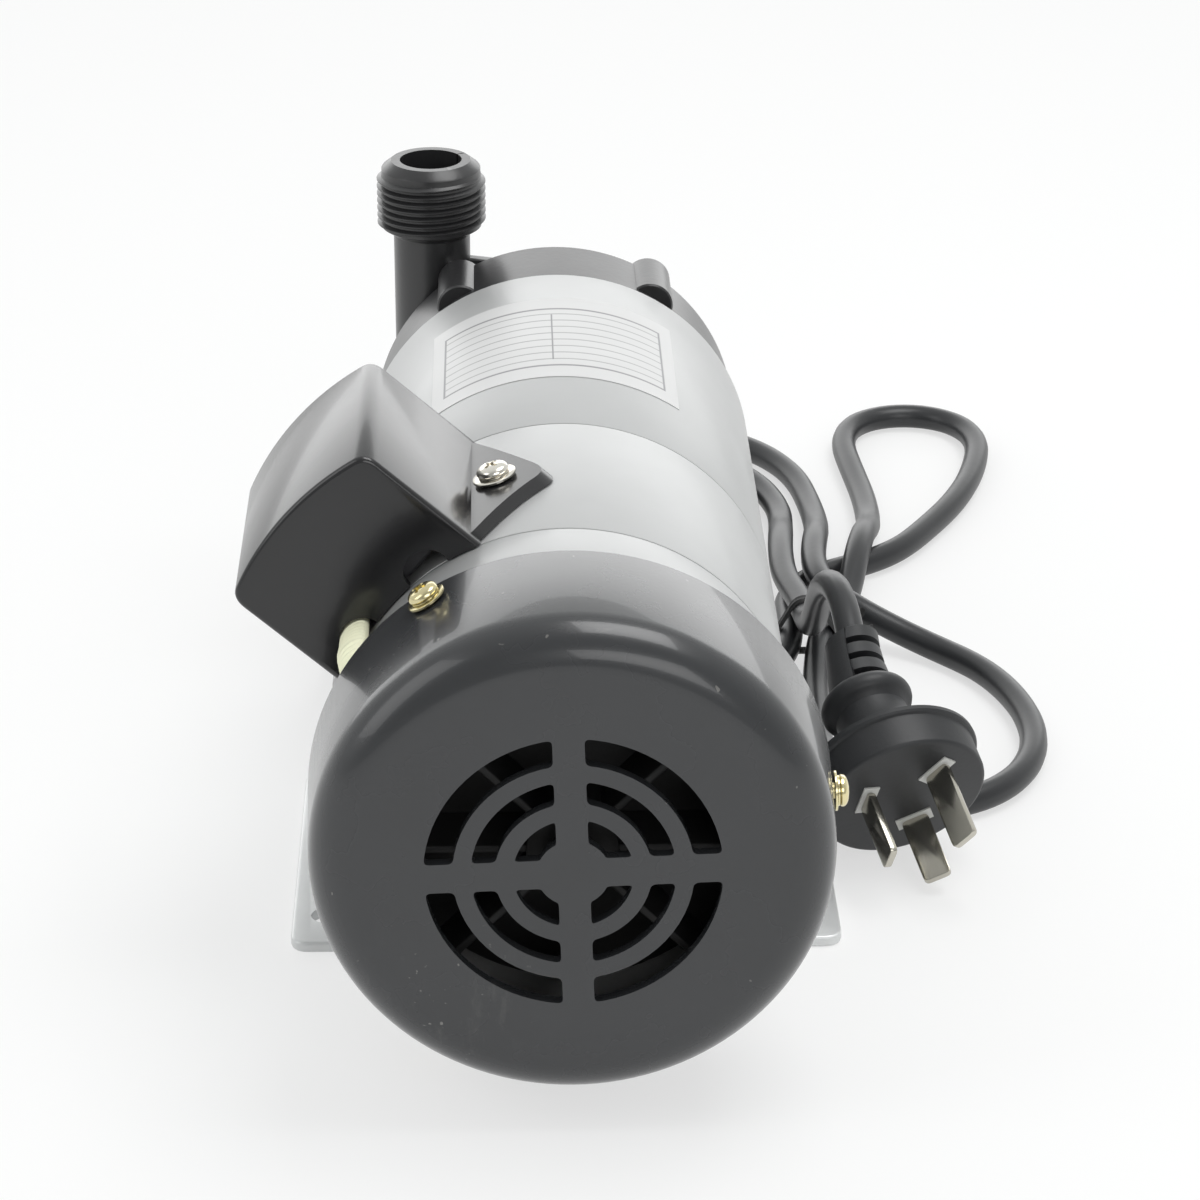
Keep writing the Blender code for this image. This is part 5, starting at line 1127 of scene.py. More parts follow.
    def relief(self) -> bpy.types.Object:
        """Make the ribbed, tapered strain relief at the box."""
        body, tail, collar = 6.2 * MM, 4.4 * MM, 8.2 * MM
        start, end, ribs = 3.4 * MM, self.gland_length, 5
        pitch = (end - start) / ribs
        profile = [(-4.0 * MM, 0.0), (-4.0 * MM, body), (0.3 * MM, body), (0.3 * MM, collar - 0.4 * MM),
                   (0.8 * MM, collar), (2.4 * MM, collar), (3.0 * MM, collar - 0.5 * MM)]
        for k in range(ribs):
            y, radius = start + k * pitch, body + (tail - body) * k / (ribs - 1)
            profile += [(y + 0.1 * pitch, radius - 1.0 * MM), (y + 0.38 * pitch, radius - 1.0 * MM),
                        (y + 0.46 * pitch, radius), (y + 0.94 * pitch, radius - 0.15 * MM)]
        profile += [(end, 3.7 * MM), (end - 0.8 * MM, 3.5 * MM), (end - 0.8 * MM, 0.0)]
        place = Matrix.Translation(self.gland_spot) @ Matrix.Rotation(-math.pi / 2, 4, "X")
        mesh = moved(lathe(softened(np.array(profile), 0.25 * MM, 3, False), MEDIUM), place)
        return self.bench.piece("strain_relief", mesh, SOFT_RUBBER, "cord_gland")

    def strands(self) -> Array:
        """Return where the strands beside the motor cross both faces of the tie, as (x, z)."""
        points = self.smooth(self.route())
        near, far = points[:-1], points[1:]
        found = []
        for y in (self.tie_y - self.tie_width / 2, self.tie_y + self.tie_width / 2):
            hit = (near[:, 1] - y) * (far[:, 1] - y) <= 0
            hit &= (near[:, 0] > 50 * MM) & (near[:, 0] < 72 * MM)
            share = ((y - near[hit, 1]) / (far[hit, 1] - near[hit, 1]))[:, None]
            found.append((near[hit] + share * (far[hit] - near[hit]))[:, [0, 2]])
        return path_of(*found)

    def tie(self) -> bpy.types.Object:
        """Make the flat tie round the strands, with its two twisted ends."""
        offset = self.radius + self.tie_clearance
        circles = [strand + arc((0.0, 0.0), offset, 0.0, TURN, 49)[:-1] for strand in self.strands()]
        cloud = path_of(*circles)
        hull = cloud[convex_hull_2d([tuple(point) for point in cloud])]
        hull[:, 1] = np.maximum(hull[:, 1], self.tie_rest)
        if np.cross(hull[1] - hull[0], hull[2] - hull[1]) < 0:
            hull = hull[::-1]
        half = self.tie_width / 2
        levels = [(-half + depth, inset) for depth, inset in self.tie_crown]
        levels += [(0.0, self.tie_middle)] + [(half - depth, inset) for depth, inset in self.tie_crown[::-1]]
        outer = prism(hull, levels)
        inner = prism(hull, [(-half - 1 * MM, 0.3 * MM), (half + 1 * MM, 0.3 * MM)])
        stand = Matrix.Translation((0.0, self.tie_y, 0.0)) @ Matrix.Rotation(math.pi / 2, 4, "X")
        band = moved(carved(outer, (Op.CUT, inner)), stand)
        tip = hull[np.argmax(hull[:, 0])]
        knot = np.array([tip[0] + 0.3 * MM, self.tie_y, tip[1]])
        tails = [self.tail(knot, direction) for direction in ((0.85, -0.35, 0.25), (0.8, 0.45, 0.5))]
        return self.bench.piece("cord_tie_band", together([band, *tails]), SOFT_RUBBER, "cord_tie")

    def tail(self, knot: Array, direction: Sequence[float]) -> bpy.types.Mesh:
        """Return one loose end of the tie: a flat strip that twists once as it leaves the knot.

        The strip's cross direction at the share s of its length is turned by half a turn times s
        about its own line, and its line bends upwards with the square of s.
        """
        ahead = np.asarray(direction) / np.linalg.norm(direction)
        side = np.cross(ahead, (0.0, 0.0, 1.0))
        side /= np.linalg.norm(side)
        lift = np.cross(side, ahead)
        s = np.linspace(0.0, 1.0, 16)[:, None]
        line = knot + ahead * (9.0 * MM * s) + lift * (2.0 * MM * s ** 2)
        turn = math.pi * s
        across = side * np.cos(turn) + lift * np.sin(turn)
        upright = np.cross(across, ahead)
        ring = oval(2.2 * MM, 0.9 * MM, 12)
        points = line[:, None] + ring[None, :, :1] * across[:, None] + ring[None, :, 1:] * upright[:, None]
        return cleaned(points, capped(len(line), len(ring)))

    def plug_frame(self) -> Matrix:
        """Return the plug's frame: Z from its face to its cord, Y from the slanted pins to the earth."""
        flat = math.cos(self.plug_tilt)
        back = Vector((-math.sin(self.plug_azimuth) * flat, math.cos(self.plug_azimuth) * flat,
                       math.sin(self.plug_tilt)))
        right = Vector((math.cos(self.plug_azimuth), math.sin(self.plug_azimuth), 0.0))
        up = back.cross(right) * -1.0
        if up.z < 0:
            up = up * -1.0
        earth = up * -math.cos(self.plug_roll) + right * math.sin(self.plug_roll)
        turned = Matrix((earth.cross(back), earth, back)).transposed().to_4x4()
        return Matrix.Translation(self.plug_face) @ turned

    def plug(self) -> list[bpy.types.Object]:
        """Make the moulded plug, its ribbed tail and its pins."""
        place = self.plug_frame()
        radius = self.plug_radius
        face = arc((1.0 * MM, radius - 1.0 * MM), 1.0 * MM, -math.pi, -1.5 * math.pi, 5)
        disc = path_of((0.0, 0.0), face, (7.6 * MM, radius), (8.0 * MM, radius + 0.1 * MM),
                       (8.3 * MM, radius + 0.7 * MM), (8.8 * MM, radius + 1.0 * MM),
                       (9.8 * MM, radius + 0.9 * MM), (10.3 * MM, radius + 0.2 * MM),
                       (10.6 * MM, radius - 1.4 * MM))
        s = np.linspace(0.0, 1.0, 9)
        neck = np.column_stack(((10.8 + 12.4 * s) * MM, (8.3 + 6.4 * (1 - s) ** 3.0) * MM))
        collar = arc((self.collar, 7.8 * MM), 2.8 * MM, math.pi * 0.86, math.pi * 0.12, 9)
        tail = path_of((self.collar + 3.2 * MM, 7.6 * MM), (self.plug_length - 0.8 * MM, 6.4 * MM),
                       (self.plug_length - 0.1 * MM, 5.6 * MM), (self.plug_length, 4.0 * MM),
                       (self.plug_length - 0.5 * MM, 0.0))
        body = lathe(path_of(disc, neck, collar, tail), FINE)
        pads, pins = self.pins(place)
        body = carved(body, *[(Op.CUT, groove) for groove in self.grooves(place)])
        self.lean_over(body, place)
        made = [self.bench.piece("plug_moulding", moved(body, place), PLUG_PLASTIC, "plug_body")]
        made.append(self.bench.piece("plug_pin_roots", pads, PLUG_COLLAR))
        return made + pins

    def grooves(self, place: Matrix) -> list[bpy.types.Mesh]:
        """Return the cutters for the tail's grooves, which leave one side of it whole.

        Args:
            place: the plug's frame.

        Returns:
            One cutter for each groove, a part of a ring.
        """
        rightward = place.to_3x3().inverted() @ Vector((1.0, 0.0, 0.0))
        turn = Matrix.Rotation(math.atan2(rightward.y, rightward.x), 4, "Z")
        block = box_mesh((24.0 * MM, 30.0 * MM, 40.0 * MM), (10.0 * MM, 0.0, self.collar + 10.0 * MM))
        block.transform(turn)
        cutters = []
        for k in range(3):
            low = self.collar + (3.4 + 5.1 * k) * MM
            ring = ring_of(low, low + 1.9 * MM, (4.9 - 0.25 * k) * MM, 12.0 * MM, MEDIUM)
            cutters.append(carved(ring, (Op.KEEP, block)))
        return cutters

    def lean_over(self, mesh: bpy.types.Mesh, place: Matrix) -> None:
        """Lean the tail to the right: a point s past the collar shifts by relief_bend s^2.

        Args:
            mesh: the plug's mesh, in its own frame.
            place: the plug's frame.
        """
        rightward = place.to_3x3().inverted() @ Vector((1.0, 0.0, 0.0))
        points = np.empty(len(mesh.vertices) * 3)
        mesh.vertices.foreach_get("co", points)
        points = points.reshape(-1, 3)
        past = np.maximum(points[:, 2] - self.collar - 3.0 * MM, 0.0)
        points += (self.relief_bend * past ** 2)[:, None] * np.array(rightward)
        mesh.vertices.foreach_set("co", points.ravel())

    def pins(self, place: Matrix) -> tuple[bpy.types.Mesh, list[bpy.types.Object]]:
        """Make the three flat pins and the pale frames at their roots.

        Args:
            place: the plug's frame.

        Returns:
            The frames' mesh and the pins.
        """
        width, thickness = 6.3 * MM, 1.63 * MM
        lean = math.radians(30.0)
        spots = (("plug_pin_live", 7.92 * MM, -4.2 * MM, -lean, 17.1 * MM),
                 ("plug_pin_earth", -7.92 * MM, -4.2 * MM, lean, 17.1 * MM),
                 ("plug_pin_neutral", 0.0, 10.3 * MM, 0.0, 20.0 * MM))
        roots, pins = [], []
        for node, x, y, turn, length in spots:
            at = place @ Matrix.Translation((x, y, 0.0)) @ Matrix.Rotation(turn, 4, "Z")
            half = width / 2
            corners = np.array([(-half, -length), (half, -length), (half, -GAP), (-half, -GAP)])
            tip = softened(corners, 1.3 * MM, 5)
            flat = prism(tip, eased(-thickness / 2, thickness / 2, 0.25 * MM, 3))
            stand = Matrix(((0, 0, 1, 0), (1, 0, 0, 0), (0, 1, 0, 0), (0, 0, 0, 1)))
            # The blades take the nickel with its painted dark reflection.
            pins.append(self.bench.piece(f"{node}_blade", moved(flat, at @ stand), DARK_REFLECTION_PIN_NICKEL, node))
            frame_size = (thickness + 2.0 * MM, width + 2.0 * MM, 0.5 * MM)
            roots.append(moved(box_mesh(frame_size, (0.0, 0.0, -0.12 * MM)), at))
        return together(roots), pins


# Screws

@dataclass
class ScrewSet:
    """Round-headed cross-recess screws, each with its spring washer and flat washer."""

    bench: Bench
    shank: float = 1.6 * MM
    head: float = 3.3 * MM
    washer: float = 4.0 * MM

    def mesh(self, seat: float, depth: float) -> bpy.types.Mesh:
        """Return one screw along Z.

        Args:
            seat: where its washer rests.
            depth: how far its shank reaches below the seat.

        Returns:
            The screw's mesh.
        """
        s = np.linspace(0.0, 1.0, 8)
        low = seat + 1.15 * MM
        top = low + 1.85 * MM
        dome = np.column_stack((low + 0.5 * MM + 1.35 * MM * np.sin(s * math.pi / 2),
                                self.head * np.cos(s * math.pi / 2) ** 0.8))
        profile = path_of((seat - depth, 0.0), (seat - depth, self.shank), (seat, self.shank),
                          (seat, self.washer - 0.15 * MM), (seat + 0.15 * MM, self.washer),
                          (seat + 0.5 * MM, self.washer), (seat + 0.62 * MM, self.washer - 0.2 * MM),
                          (seat + 0.62 * MM, self.head - 0.5 * MM),
                          (seat + 0.72 * MM, self.head - 0.15 * MM),
                          (seat + 1.05 * MM, self.head - 0.15 * MM), (low, self.head - 0.5 * MM),
                          (low + 0.1 * MM, self.head - 0.1 * MM), (low + 0.3 * MM, self.head), dome[1:-1],
                          (top, 0.0))
        cross = []
        for turn in (0.0, math.pi / 2):
            corners = np.array([(-2.0 * MM, 0.3 * MM), (-0.7 * MM, -1.3 * MM), (0.7 * MM, -1.3 * MM),
                                (2.0 * MM, 0.3 * MM)])
            wing = prism(corners, [(-0.42 * MM, 0.0), (0.42 * MM, 0.0)])
            stand = Matrix.Translation((0.0, 0.0, top)) @ Matrix.Rotation(turn, 4, "Z")
            cross.append((Op.CUT, moved(wing, stand @ Matrix.Rotation(math.pi / 2, 4, "X"))))
        return carved(lathe(profile, 40), *cross)

    def place(self, node: str, seat: float, depth: float, places: Sequence[Matrix], finish: Finish) -> None:
        """Set screws at their places, each for its numbered node.

        Args:
            node: the nodes' name without its number.
            seat: where the washers rest.
            depth: how far the shanks reach below the seat.
            places: one place for each screw.
            finish: the screws' finish.
        """
        screw = self.mesh(seat, depth)
        for number, place in enumerate(places, 1):
            turn = Matrix.Rotation(0.5 + 1.9 * number, 4, "Z")
            self.bench.piece(f"{node}_{number}_form", twin(screw, place @ turn), finish, f"{node}_{number}")


# Motor

@dataclass
class MotorHousing:
    """The fan cover, the two bells, the stator shell between them and the blank rating plate."""

    bench: Bench
    cover_face: float = -112.0 * MM
    cover_length: float = 35.0 * MM
    cover_front: float = 50.8 * MM
    cover_rear: float = 51.85 * MM
    fillet: float = 9.0 * MM
    wall: float = 2.2 * MM
    face_wall: float = 2.4 * MM
    slot_rings: tuple[tuple[float, float], ...] = ((7.0 * MM, 11.54 * MM), (14.98 * MM, 19.59 * MM),
                                                   (23.04 * MM, 28.56 * MM))
    slot_bar: float = 6.1 * MM
    slot_turn: float = math.radians(-2.0)
    slot_corner: float = 1.1 * MM
    screw_angles: tuple[float, ...] = (2.0, 122.0, 242.0)
    screw_depth: float = 29.5 * MM
    bearing: float = 13.3 * MM
    bearing_wall: float = 3.6 * MM
    plate_angles: tuple[float, float] = (128.0, 55.5)
    plate_ends: tuple[float, float] = (30.0, 79.5)

    def build(self) -> None:
        """Make the housing's pieces."""
        self.bench.piece("fan_cover_shell", self.fan_cover(), COVER, "fan_cover")
        self.bench.piece("rear_bell_shell", self.rear_bell(), SILVER, "rear_end_bell")
        self.bench.piece("stator_tube", self.stator_tube(), SILVER, "stator_shell")
        self.bench.piece("front_bell_shell", self.front_bell(), SILVER, "front_end_bell")
        self.label()
        screws = ScrewSet(self.bench, head=3.2 * MM)
        slope = (self.cover_rear - self.cover_front) / (self.cover_length - self.fillet)
        seat = self.cover_rear - slope * (self.cover_length - self.screw_depth) + 0.3 * MM
        screws.place("cover_screw", seat, 6.0 * MM, self.cover_screws(), YELLOW_ZINC)

    def cover_screws(self) -> list[Matrix]:
        """Return the places of the cover's screws."""
        y = self.cover_face + self.screw_depth
        return [out_from_axis(math.radians(a), y) for a in self.screw_angles]

    def slots(self) -> bpy.types.Mesh:
        """Return the cover's arc slots: three rings in four quadrants beside a cross of bars."""
        half = self.slot_bar / 2
        turns = [lying() @ Matrix.Rotation(self.slot_turn + k * math.pi / 2, 4, "Z") for k in range(4)]
        cuts = []
        for inner, outer in self.slot_rings:
            rim = arc((0.0, 0.0), outer, math.asin(half / outer), math.acos(half / outer), 20)
            core = arc((0.0, 0.0), inner, math.acos(half / inner), math.asin(half / inner), 14)
            ends = (0, len(rim) - 1, len(rim), len(rim) + len(core) - 1)
            outline = self.rounded_ends(path_of(rim, core), ends)
            levels = [(self.cover_face - 1.0 * MM, 0.0), (self.cover_face + 2 * self.face_wall, 0.0)]
            cuts.append(copies(prism(outline, levels), turns))
        return together(cuts)

    def rounded_ends(self, outline: Array, corners: Sequence[int]) -> Array:
        """Round four named corners of an outline with short arcs.

        Args:
            outline: the outline's points.
            corners: the numbers of the corners to round.

        Returns:
            The outline with each corner replaced by five points.
        """
        parts: list[Array] = []
        for index, point in enumerate(outline):
            if index not in corners:
                parts.append(point[None])
                continue
            sides = (outline[index - 1] - point, outline[(index + 1) % len(outline)] - point)
            spans = [np.linalg.norm(side) for side in sides]
            a, b = (point + side / span * min(self.slot_corner, 0.8 * span)
                    for side, span in zip(sides, spans))
            s = np.linspace(0.0, 1.0, 5)[:, None]
            parts.append(curve_round(a, point, b, s))
        return path_of(*parts)

    def fan_cover(self) -> bpy.types.Mesh:
        """Return the pressed cover: a flat face, a round shoulder and a slightly flared skirt."""
        rear = self.cover_face + self.cover_length
        edge = self.cover_front - self.fillet
        centre = (self.cover_face + self.fillet, edge)
        shoulder = arc(centre, self.fillet, math.pi, math.pi / 2, 18)
        hem = arc((rear - 0.6 * MM, self.cover_rear - 0.6 * MM), 0.6 * MM, math.pi / 2, 0.0, 4)
        inner = arc(centre, self.fillet - self.wall, math.pi / 2, math.pi, 12)
        mouth, face_back = self.cover_rear - self.wall, self.cover_face + self.face_wall
        profile = path_of((self.cover_face, 0.0), shoulder, hem, (rear, mouth + 0.3 * MM),
                          (rear - 0.4 * MM, mouth), inner[:-1], (face_back, edge), (face_back, 0.0))
        holes = self.radial_holes(self.cover_rear + 2 * MM)
        return carved(moved(lathe(profile), lying()), (Op.CUT, self.slots()), (Op.CUT, holes))

    def radial_holes(self, outer: float) -> bpy.types.Mesh:
        """Return the cutters for the cover screws' holes."""
        return copies(rod(BODY_RADIUS - 2.0 * MM, outer, SHELL_HOLE, COARSE), self.cover_screws())

    def rear_bell(self) -> bpy.types.Mesh:
        """Return the rear bell with its vents, its bearing seat and the bosses under the cover."""
        start, end, plate, seat_end = -84.0 * MM, -53.25 * MM, -80.5 * MM, -71.3 * MM
        wall, boss, eye = BODY_RADIUS - BELL_WALL, self.bearing + self.bearing_wall, 6.5 * MM
        corners = np.array([(start, eye), (start, BODY_RADIUS), (end, BODY_RADIUS), (end, wall),
                            (plate, wall), (plate, boss), (seat_end, boss), (seat_end, self.bearing),
                            (plate, self.bearing), (plate, eye)])
        posts = copies(rod(BODY_RADIUS - 2.0 * MM, 48.6 * MM, 4.2 * MM, 32), self.cover_screws())
        low, high = start - 1.0 * MM, plate + 1.0 * MM
        vents = copies(rod(low, high, 5.0 * MM, 40), on_circle(30.0 * MM, np.arange(6) * TURN / 6))
        bolts = copies(rod(low, high, TIE_BOLT_HOLE, COARSE), tie_bolts())
        sleeve = TerminalBox(self.bench).sleeve(2 * GAP, False)
        body = moved(lathe(softened(corners, 0.35 * MM, 3)), lying())
        return carved(body, (Op.ADD, posts), (Op.CUT, self.radial_holes(53 * MM)), (Op.CUT, vents),
                      (Op.CUT, bolts), (Op.CUT, sleeve))

    def stator_tube(self) -> bpy.types.Mesh:
        """Return the rolled shell round the stator."""
        tube = moved(ring_of(-53.0 * MM, 2.55 * MM, 43.3 * MM, BODY_RADIUS, FINE, 0.3 * MM), lying())
        places = TerminalBox(self.bench).ear_screws() + foot_screws()
        return carved(tube, (Op.CUT, shell_drills(places)))

    def front_bell(self) -> bpy.types.Mesh:
        """Return the front bell: its wall, the diaphragm with the bearing seat and the casing's lugs."""
        wall, start, end, eye = BODY_RADIUS - BELL_WALL, 2.85 * MM, 96.3 * MM, 7.0 * MM
        plate, plate_end, seat_end = 24.0 * MM, 27.5 * MM, 37.0 * MM
        boss = self.bearing + self.bearing_wall
        corners = np.array([(start, wall), (start, BODY_RADIUS), (end, BODY_RADIUS), (end, wall),
                            (plate_end, wall), (plate_end, boss), (seat_end, boss),
                            (seat_end, self.bearing), (plate_end, self.bearing), (plate_end, eye),
                            (plate, eye), (plate, wall)])
        depth = BODY_RADIUS - 1.0 * MM - CAN_SEAT
        lug = box_mesh((depth, 11.0 * MM, 12.0 * MM), (CAN_SEAT + depth / 2, 0.0, end - 6.01 * MM))
        lugs = copies(lug, [lying() @ Matrix.Rotation(-a, 4, "Z") for a in np.radians(CASING_ANGLES)])
        holes = copies(rod(end - 13.0 * MM, end + 1.0 * MM, CASING_HOLE, COARSE), casing_screws())
        bolts = copies(rod(plate - 1.0 * MM, plate_end + 1.0 * MM, TIE_BOLT_HOLE, COARSE), tie_bolts())
        body = moved(lathe(softened(corners, 0.3 * MM, 3)), lying())
        return carved(body, (Op.ADD, lugs), (Op.CUT, holes), (Op.CUT, bolts))

    def label(self) -> bpy.types.Object:
        """Make the rating plate, left bare but for its ruled frame.

        The sheet's point (u, v) lies at the angle a0 + u (a1 - a0) round the shell and at the station
        y0 + v (y1 - y0) along it. The sheet has two layers, closed by a rim.
        """
        columns, rows = 60, 24
        first, last = self.plate_angles
        near, far = self.plate_ends
        u, v = np.meshgrid(np.linspace(0.0, 1.0, columns), np.linspace(0.0, 1.0, rows))
        angle = math.radians(first) + u * math.radians(last - first)
        along = (near + v * (far - near)) * MM
        layers = []
        for lift in (0.02 * MM, 0.14 * MM):
            r = BODY_RADIUS + lift
            layers.append(np.stack((r * np.cos(angle), along, AXIS_HEIGHT + r * np.sin(angle)), -1))
        points = np.stack(layers).reshape(-1, 3)
        sheet = quads(rows, columns, False, False)
        count = rows * columns
        border = np.concatenate((np.arange(columns), np.arange(1, rows) * columns + columns - 1,
                                 (rows - 1) * columns + np.arange(columns - 2, -1, -1),
                                 np.arange(rows - 2, 0, -1) * columns))
        ahead = np.roll(border, -1)
        rim = np.stack((border, ahead, ahead + count, border + count), -1)
        mesh = cleaned(points, np.concatenate((sheet[:, ::-1], sheet + count, rim)))
        layer = mesh.uv_layers.new(name="sheet")
        corner = np.empty(len(mesh.loops), dtype=np.int32)
        mesh.loops.foreach_get("vertex_index", corner)
        flat = np.tile(np.column_stack((u.ravel(), v.ravel())), (2, 1))[corner]
        layer.data.foreach_set("uv", flat.ravel().astype(np.float32))
        return self.bench.piece("rating_plate", mesh, LABEL)


@dataclass
class MotorInside:
    """The pieces inside the motor, which keep their solids and get their finishes."""

    finishes: tuple[tuple[Finish, tuple[str, ...]], ...] = (
        (LAMINATED, ("stator_core", "rotor_core")),
        (COPPER, ("stator_windings",)),
        (CAST, ("rotor_cage",)),
        (STEEL, ("motor_shaft", "drive_magnet_yoke", "rear_bearing_outer_race", "front_bearing_outer_race",
                 "rear_bearing_inner_race", "front_bearing_inner_race", "rear_bearing_balls",
                 "front_bearing_balls")),
        (ZINC_STEEL, ("motor_tie_bolt_1", "motor_tie_bolt_2", "motor_tie_bolt_3", "motor_tie_bolt_4",
                      "hub_set_screw")),
        (FERRITE, ("drive_magnet_1", "drive_magnet_2", "drive_magnet_3", "drive_magnet_4",
                   "impeller_magnet", "terminal_block")),
        (CERAMIC, ("ceramic_spindle", "rear_thrust_washer", "front_thrust_washer")),
        (CARBON, ("impeller_bush",)),
        (HOUSING_PLASTIC, ("impeller", "magnet_cap")),
        (SOFT_RUBBER, ("casing_o_ring",)),
        (FILM_CASE, ("run_capacitor",)),
    )

    def build(self) -> None:
        """Give each inner node its finish."""
        for finish, nodes in self.finishes:
            for node in nodes:
                data = bpy.data.objects[node].data
                data.materials.clear()
                data.materials.append(finish.material())
            LOG.info("%s on %d inner pieces", finish.name, len(nodes))
        self.fan()

    def fan(self) -> None:
        """Make the cooling fan, which shows through the cover's slots."""
        face, plate = -103.0 * MM, -88.0 * MM
        bore, hub, rim = 4.3 * MM, 9.0 * MM, 36.5 * MM
        corners = np.array([(face, bore), (face, hub), (plate, hub), (plate, rim), (plate + 1.6 * MM, rim),
                            (plate + 1.6 * MM, bore)])
        body = moved(lathe(softened(corners, 0.4 * MM, 3), MEDIUM), lying())
        blade = box_mesh((28.0 * MM, 1.6 * MM, 15.0 * MM), (22.2 * MM, 0.0, -94.5 * MM), 0.5 * MM)
        blades = copies(blade, [lying() @ Matrix.Rotation(k * TURN / 8, 4, "Z") for k in range(8)])
        Bench("rotor").piece("fan_wheel", carved(body, (Op.ADD, blades)), FAN_PLASTIC, "cooling_fan")


# Terminal box

@dataclass
class TerminalBox:
    """The moulded box on the shell's shoulder, with its ears, notches, screws and the leads' sleeve."""

    bench: Bench
    angle: float = math.radians(138.6)
    half: float = 20.75 * MM
    corner: float = 71.3 * MM
    crown: float = 75.0 * MM
    y: float = -54.5 * MM
    length: float = 52.5 * MM
    wall: float = 2.2 * MM
    ear: float = 2.3 * MM
    ear_tip: float = math.radians(40.1)
    ear_screw: float = math.radians(31.4)
    notches: tuple[float, float] = (-9.5 * MM, 10.3 * MM)
    notch: float = 4.8 * MM
    notch_height: float = 45.7 * MM
    gland: float = 6.35 * MM
    gland_height: float = 58.0 * MM
    root: float = 36.0 * MM

    def build(self) -> None:
        """Make the box's pieces."""
        self.bench.piece("box_moulding", self.cover(), BOX_PLASTIC, "terminal_box_cover")
        self.bench.piece("sleeve", self.sleeve(0.0, True), CREAM, "lead_sleeve")
        screws = ScrewSet(self.bench, head=3.4 * MM, washer=4.6 * MM)
        screws.place("box_screw", BODY_RADIUS + GAP + self.ear + GAP, 5.3 * MM, self.ear_screws(), NICKEL)

    def ear_screws(self) -> list[Matrix]:
        """Return the places of the screws in the ears."""
        return [out_from_axis(self.angle + s * self.ear_screw, self.middle()) for s in (-1.0, 1.0)]

    def middle(self) -> float:
        """Return the station of the box's middle."""
        return self.y + self.length / 2

    def frame(self, y: float = 0.0) -> Matrix:
        """Return the box's frame: X across it, Y outwards, Z along the motor."""
        across = Vector((-math.sin(self.angle), 0.0, math.cos(self.angle)))
        outward = Vector((math.cos(self.angle), 0.0, math.sin(self.angle)))
        turned = Matrix((across, outward, across.cross(outward))).transposed().to_4x4()
        return Matrix.Translation((0.0, y, AXIS_HEIGHT)) @ turned

    def outline(self, inset: float, round_by: float) -> Array:
        """Return the box's end view: straight sides, soft upper corners and a crowned lid.

        Args:
            inset: how far the outline lies inside the box's own.
            round_by: how far its corners are rounded.

        Returns:
            The outline's points, counter-clockwise.
        """
        half, corner, crown = self.half - inset, self.corner - inset, self.crown - inset
        rise = crown - corner
        radius = (half * half + rise * rise) / (2 * rise)
        lid_half = half - 0.75 * round_by
        spread = math.asin(lid_half / radius)
        lid = arc((0.0, crown - radius), radius, math.pi / 2 - spread, math.pi / 2 + spread, 25)
        drop = corner - 0.95 * round_by
        s = np.linspace(0.0, 1.0, 9)[1:-1, None]
        right = curve_round(np.array((half, drop)), np.array((half, corner + 0.1 * MM)), lid[0], s)
        left = curve_round(lid[-1], np.array((-half, corner + 0.1 * MM)), np.array((-half, drop)), s)
        return path_of((half, self.root), (half, drop), right, lid, left, (-half, drop), (-half, self.root))

    def shell(self, inset: float, y0: float, y1: float, edge: float, round_by: float) -> bpy.types.Mesh:
        """Return the outline carried along the motor.

        Args:
            inset: how far the outline lies inside the box's own.
            y0: where it begins.
            y1: where it ends.
            edge: the rims' radius, or 0 for sharp rims.
            round_by: how far the outline's corners are rounded.

        Returns:
            A closed mesh.
        """
        half = (y1 - y0) / 2
        levels = eased(-half, half, edge) if edge else [(-half, 0.0), (half, 0.0)]
        return moved(prism(self.outline(inset, round_by), levels), self.frame((y0 + y1) / 2))

    def ear_shape(self, side: float) -> bpy.types.Mesh:
        """Return one ear: a strip of the shell's curve cut to a triangle with a round tip."""
        seat = BODY_RADIUS + GAP
        strip = moved(ring_of(self.y, self.y + self.length, seat, seat + self.ear, FINE), lying())
        tip = (BODY_RADIUS + self.ear) * math.sin(self.ear_tip) + 3.0 * MM
        root, half = self.half - 1.0 * MM, self.length / 2 - 0.4 * MM
        corners = np.array([(side * root, -half), (side * tip, 0.0), (side * root, half)])
        corners = corners if side > 0 else corners[::-1]
        outline = softened(corners, 4.4 * MM, 7)
        face = self.frame() @ Matrix.Rotation(-math.pi / 2, 4, "X")
        lift = Matrix.Translation((0.0, self.middle(), 0.0))
        cutter = moved(prism(outline, [(25.0 * MM, 0.0), (55.0 * MM, 0.0)]), lift @ face)
        return carved(strip, (Op.KEEP, cutter))

    def cover(self) -> bpy.types.Mesh:
        """Return the box with its hollow, ears, notches and holes."""
        end = self.y + self.length
        body = self.shell(0.0, self.y, end, 1.1 * MM, 3.4 * MM)
        hollow = self.shell(self.wall, self.y + self.wall, end - self.wall, 0.0, 1.2 * MM)
        seat = rod(self.y - 5.0 * MM, end + 5.0 * MM, BODY_RADIUS + GAP, FINE)
        steps = [(Op.ADD, self.ear_shape(side)) for side in (1.0, -1.0)]
        steps = [(Op.CUT, hollow), *steps, (Op.CUT, moved(seat, lying()))]
        openings = [(self.y, x, self.notch_height, self.notch) for x in self.notches]
        for y, x, height, radius in (*openings, (end, 0.0, self.gland_height, self.gland)):
            place = self.frame(y) @ Matrix.Translation((x, height, 0.0))
            steps.append((Op.CUT, moved(rod(-6.0 * MM, 6.0 * MM, radius, 48), place)))
        return carved(body, *steps, (Op.CUT, shell_drills(self.ear_screws())))

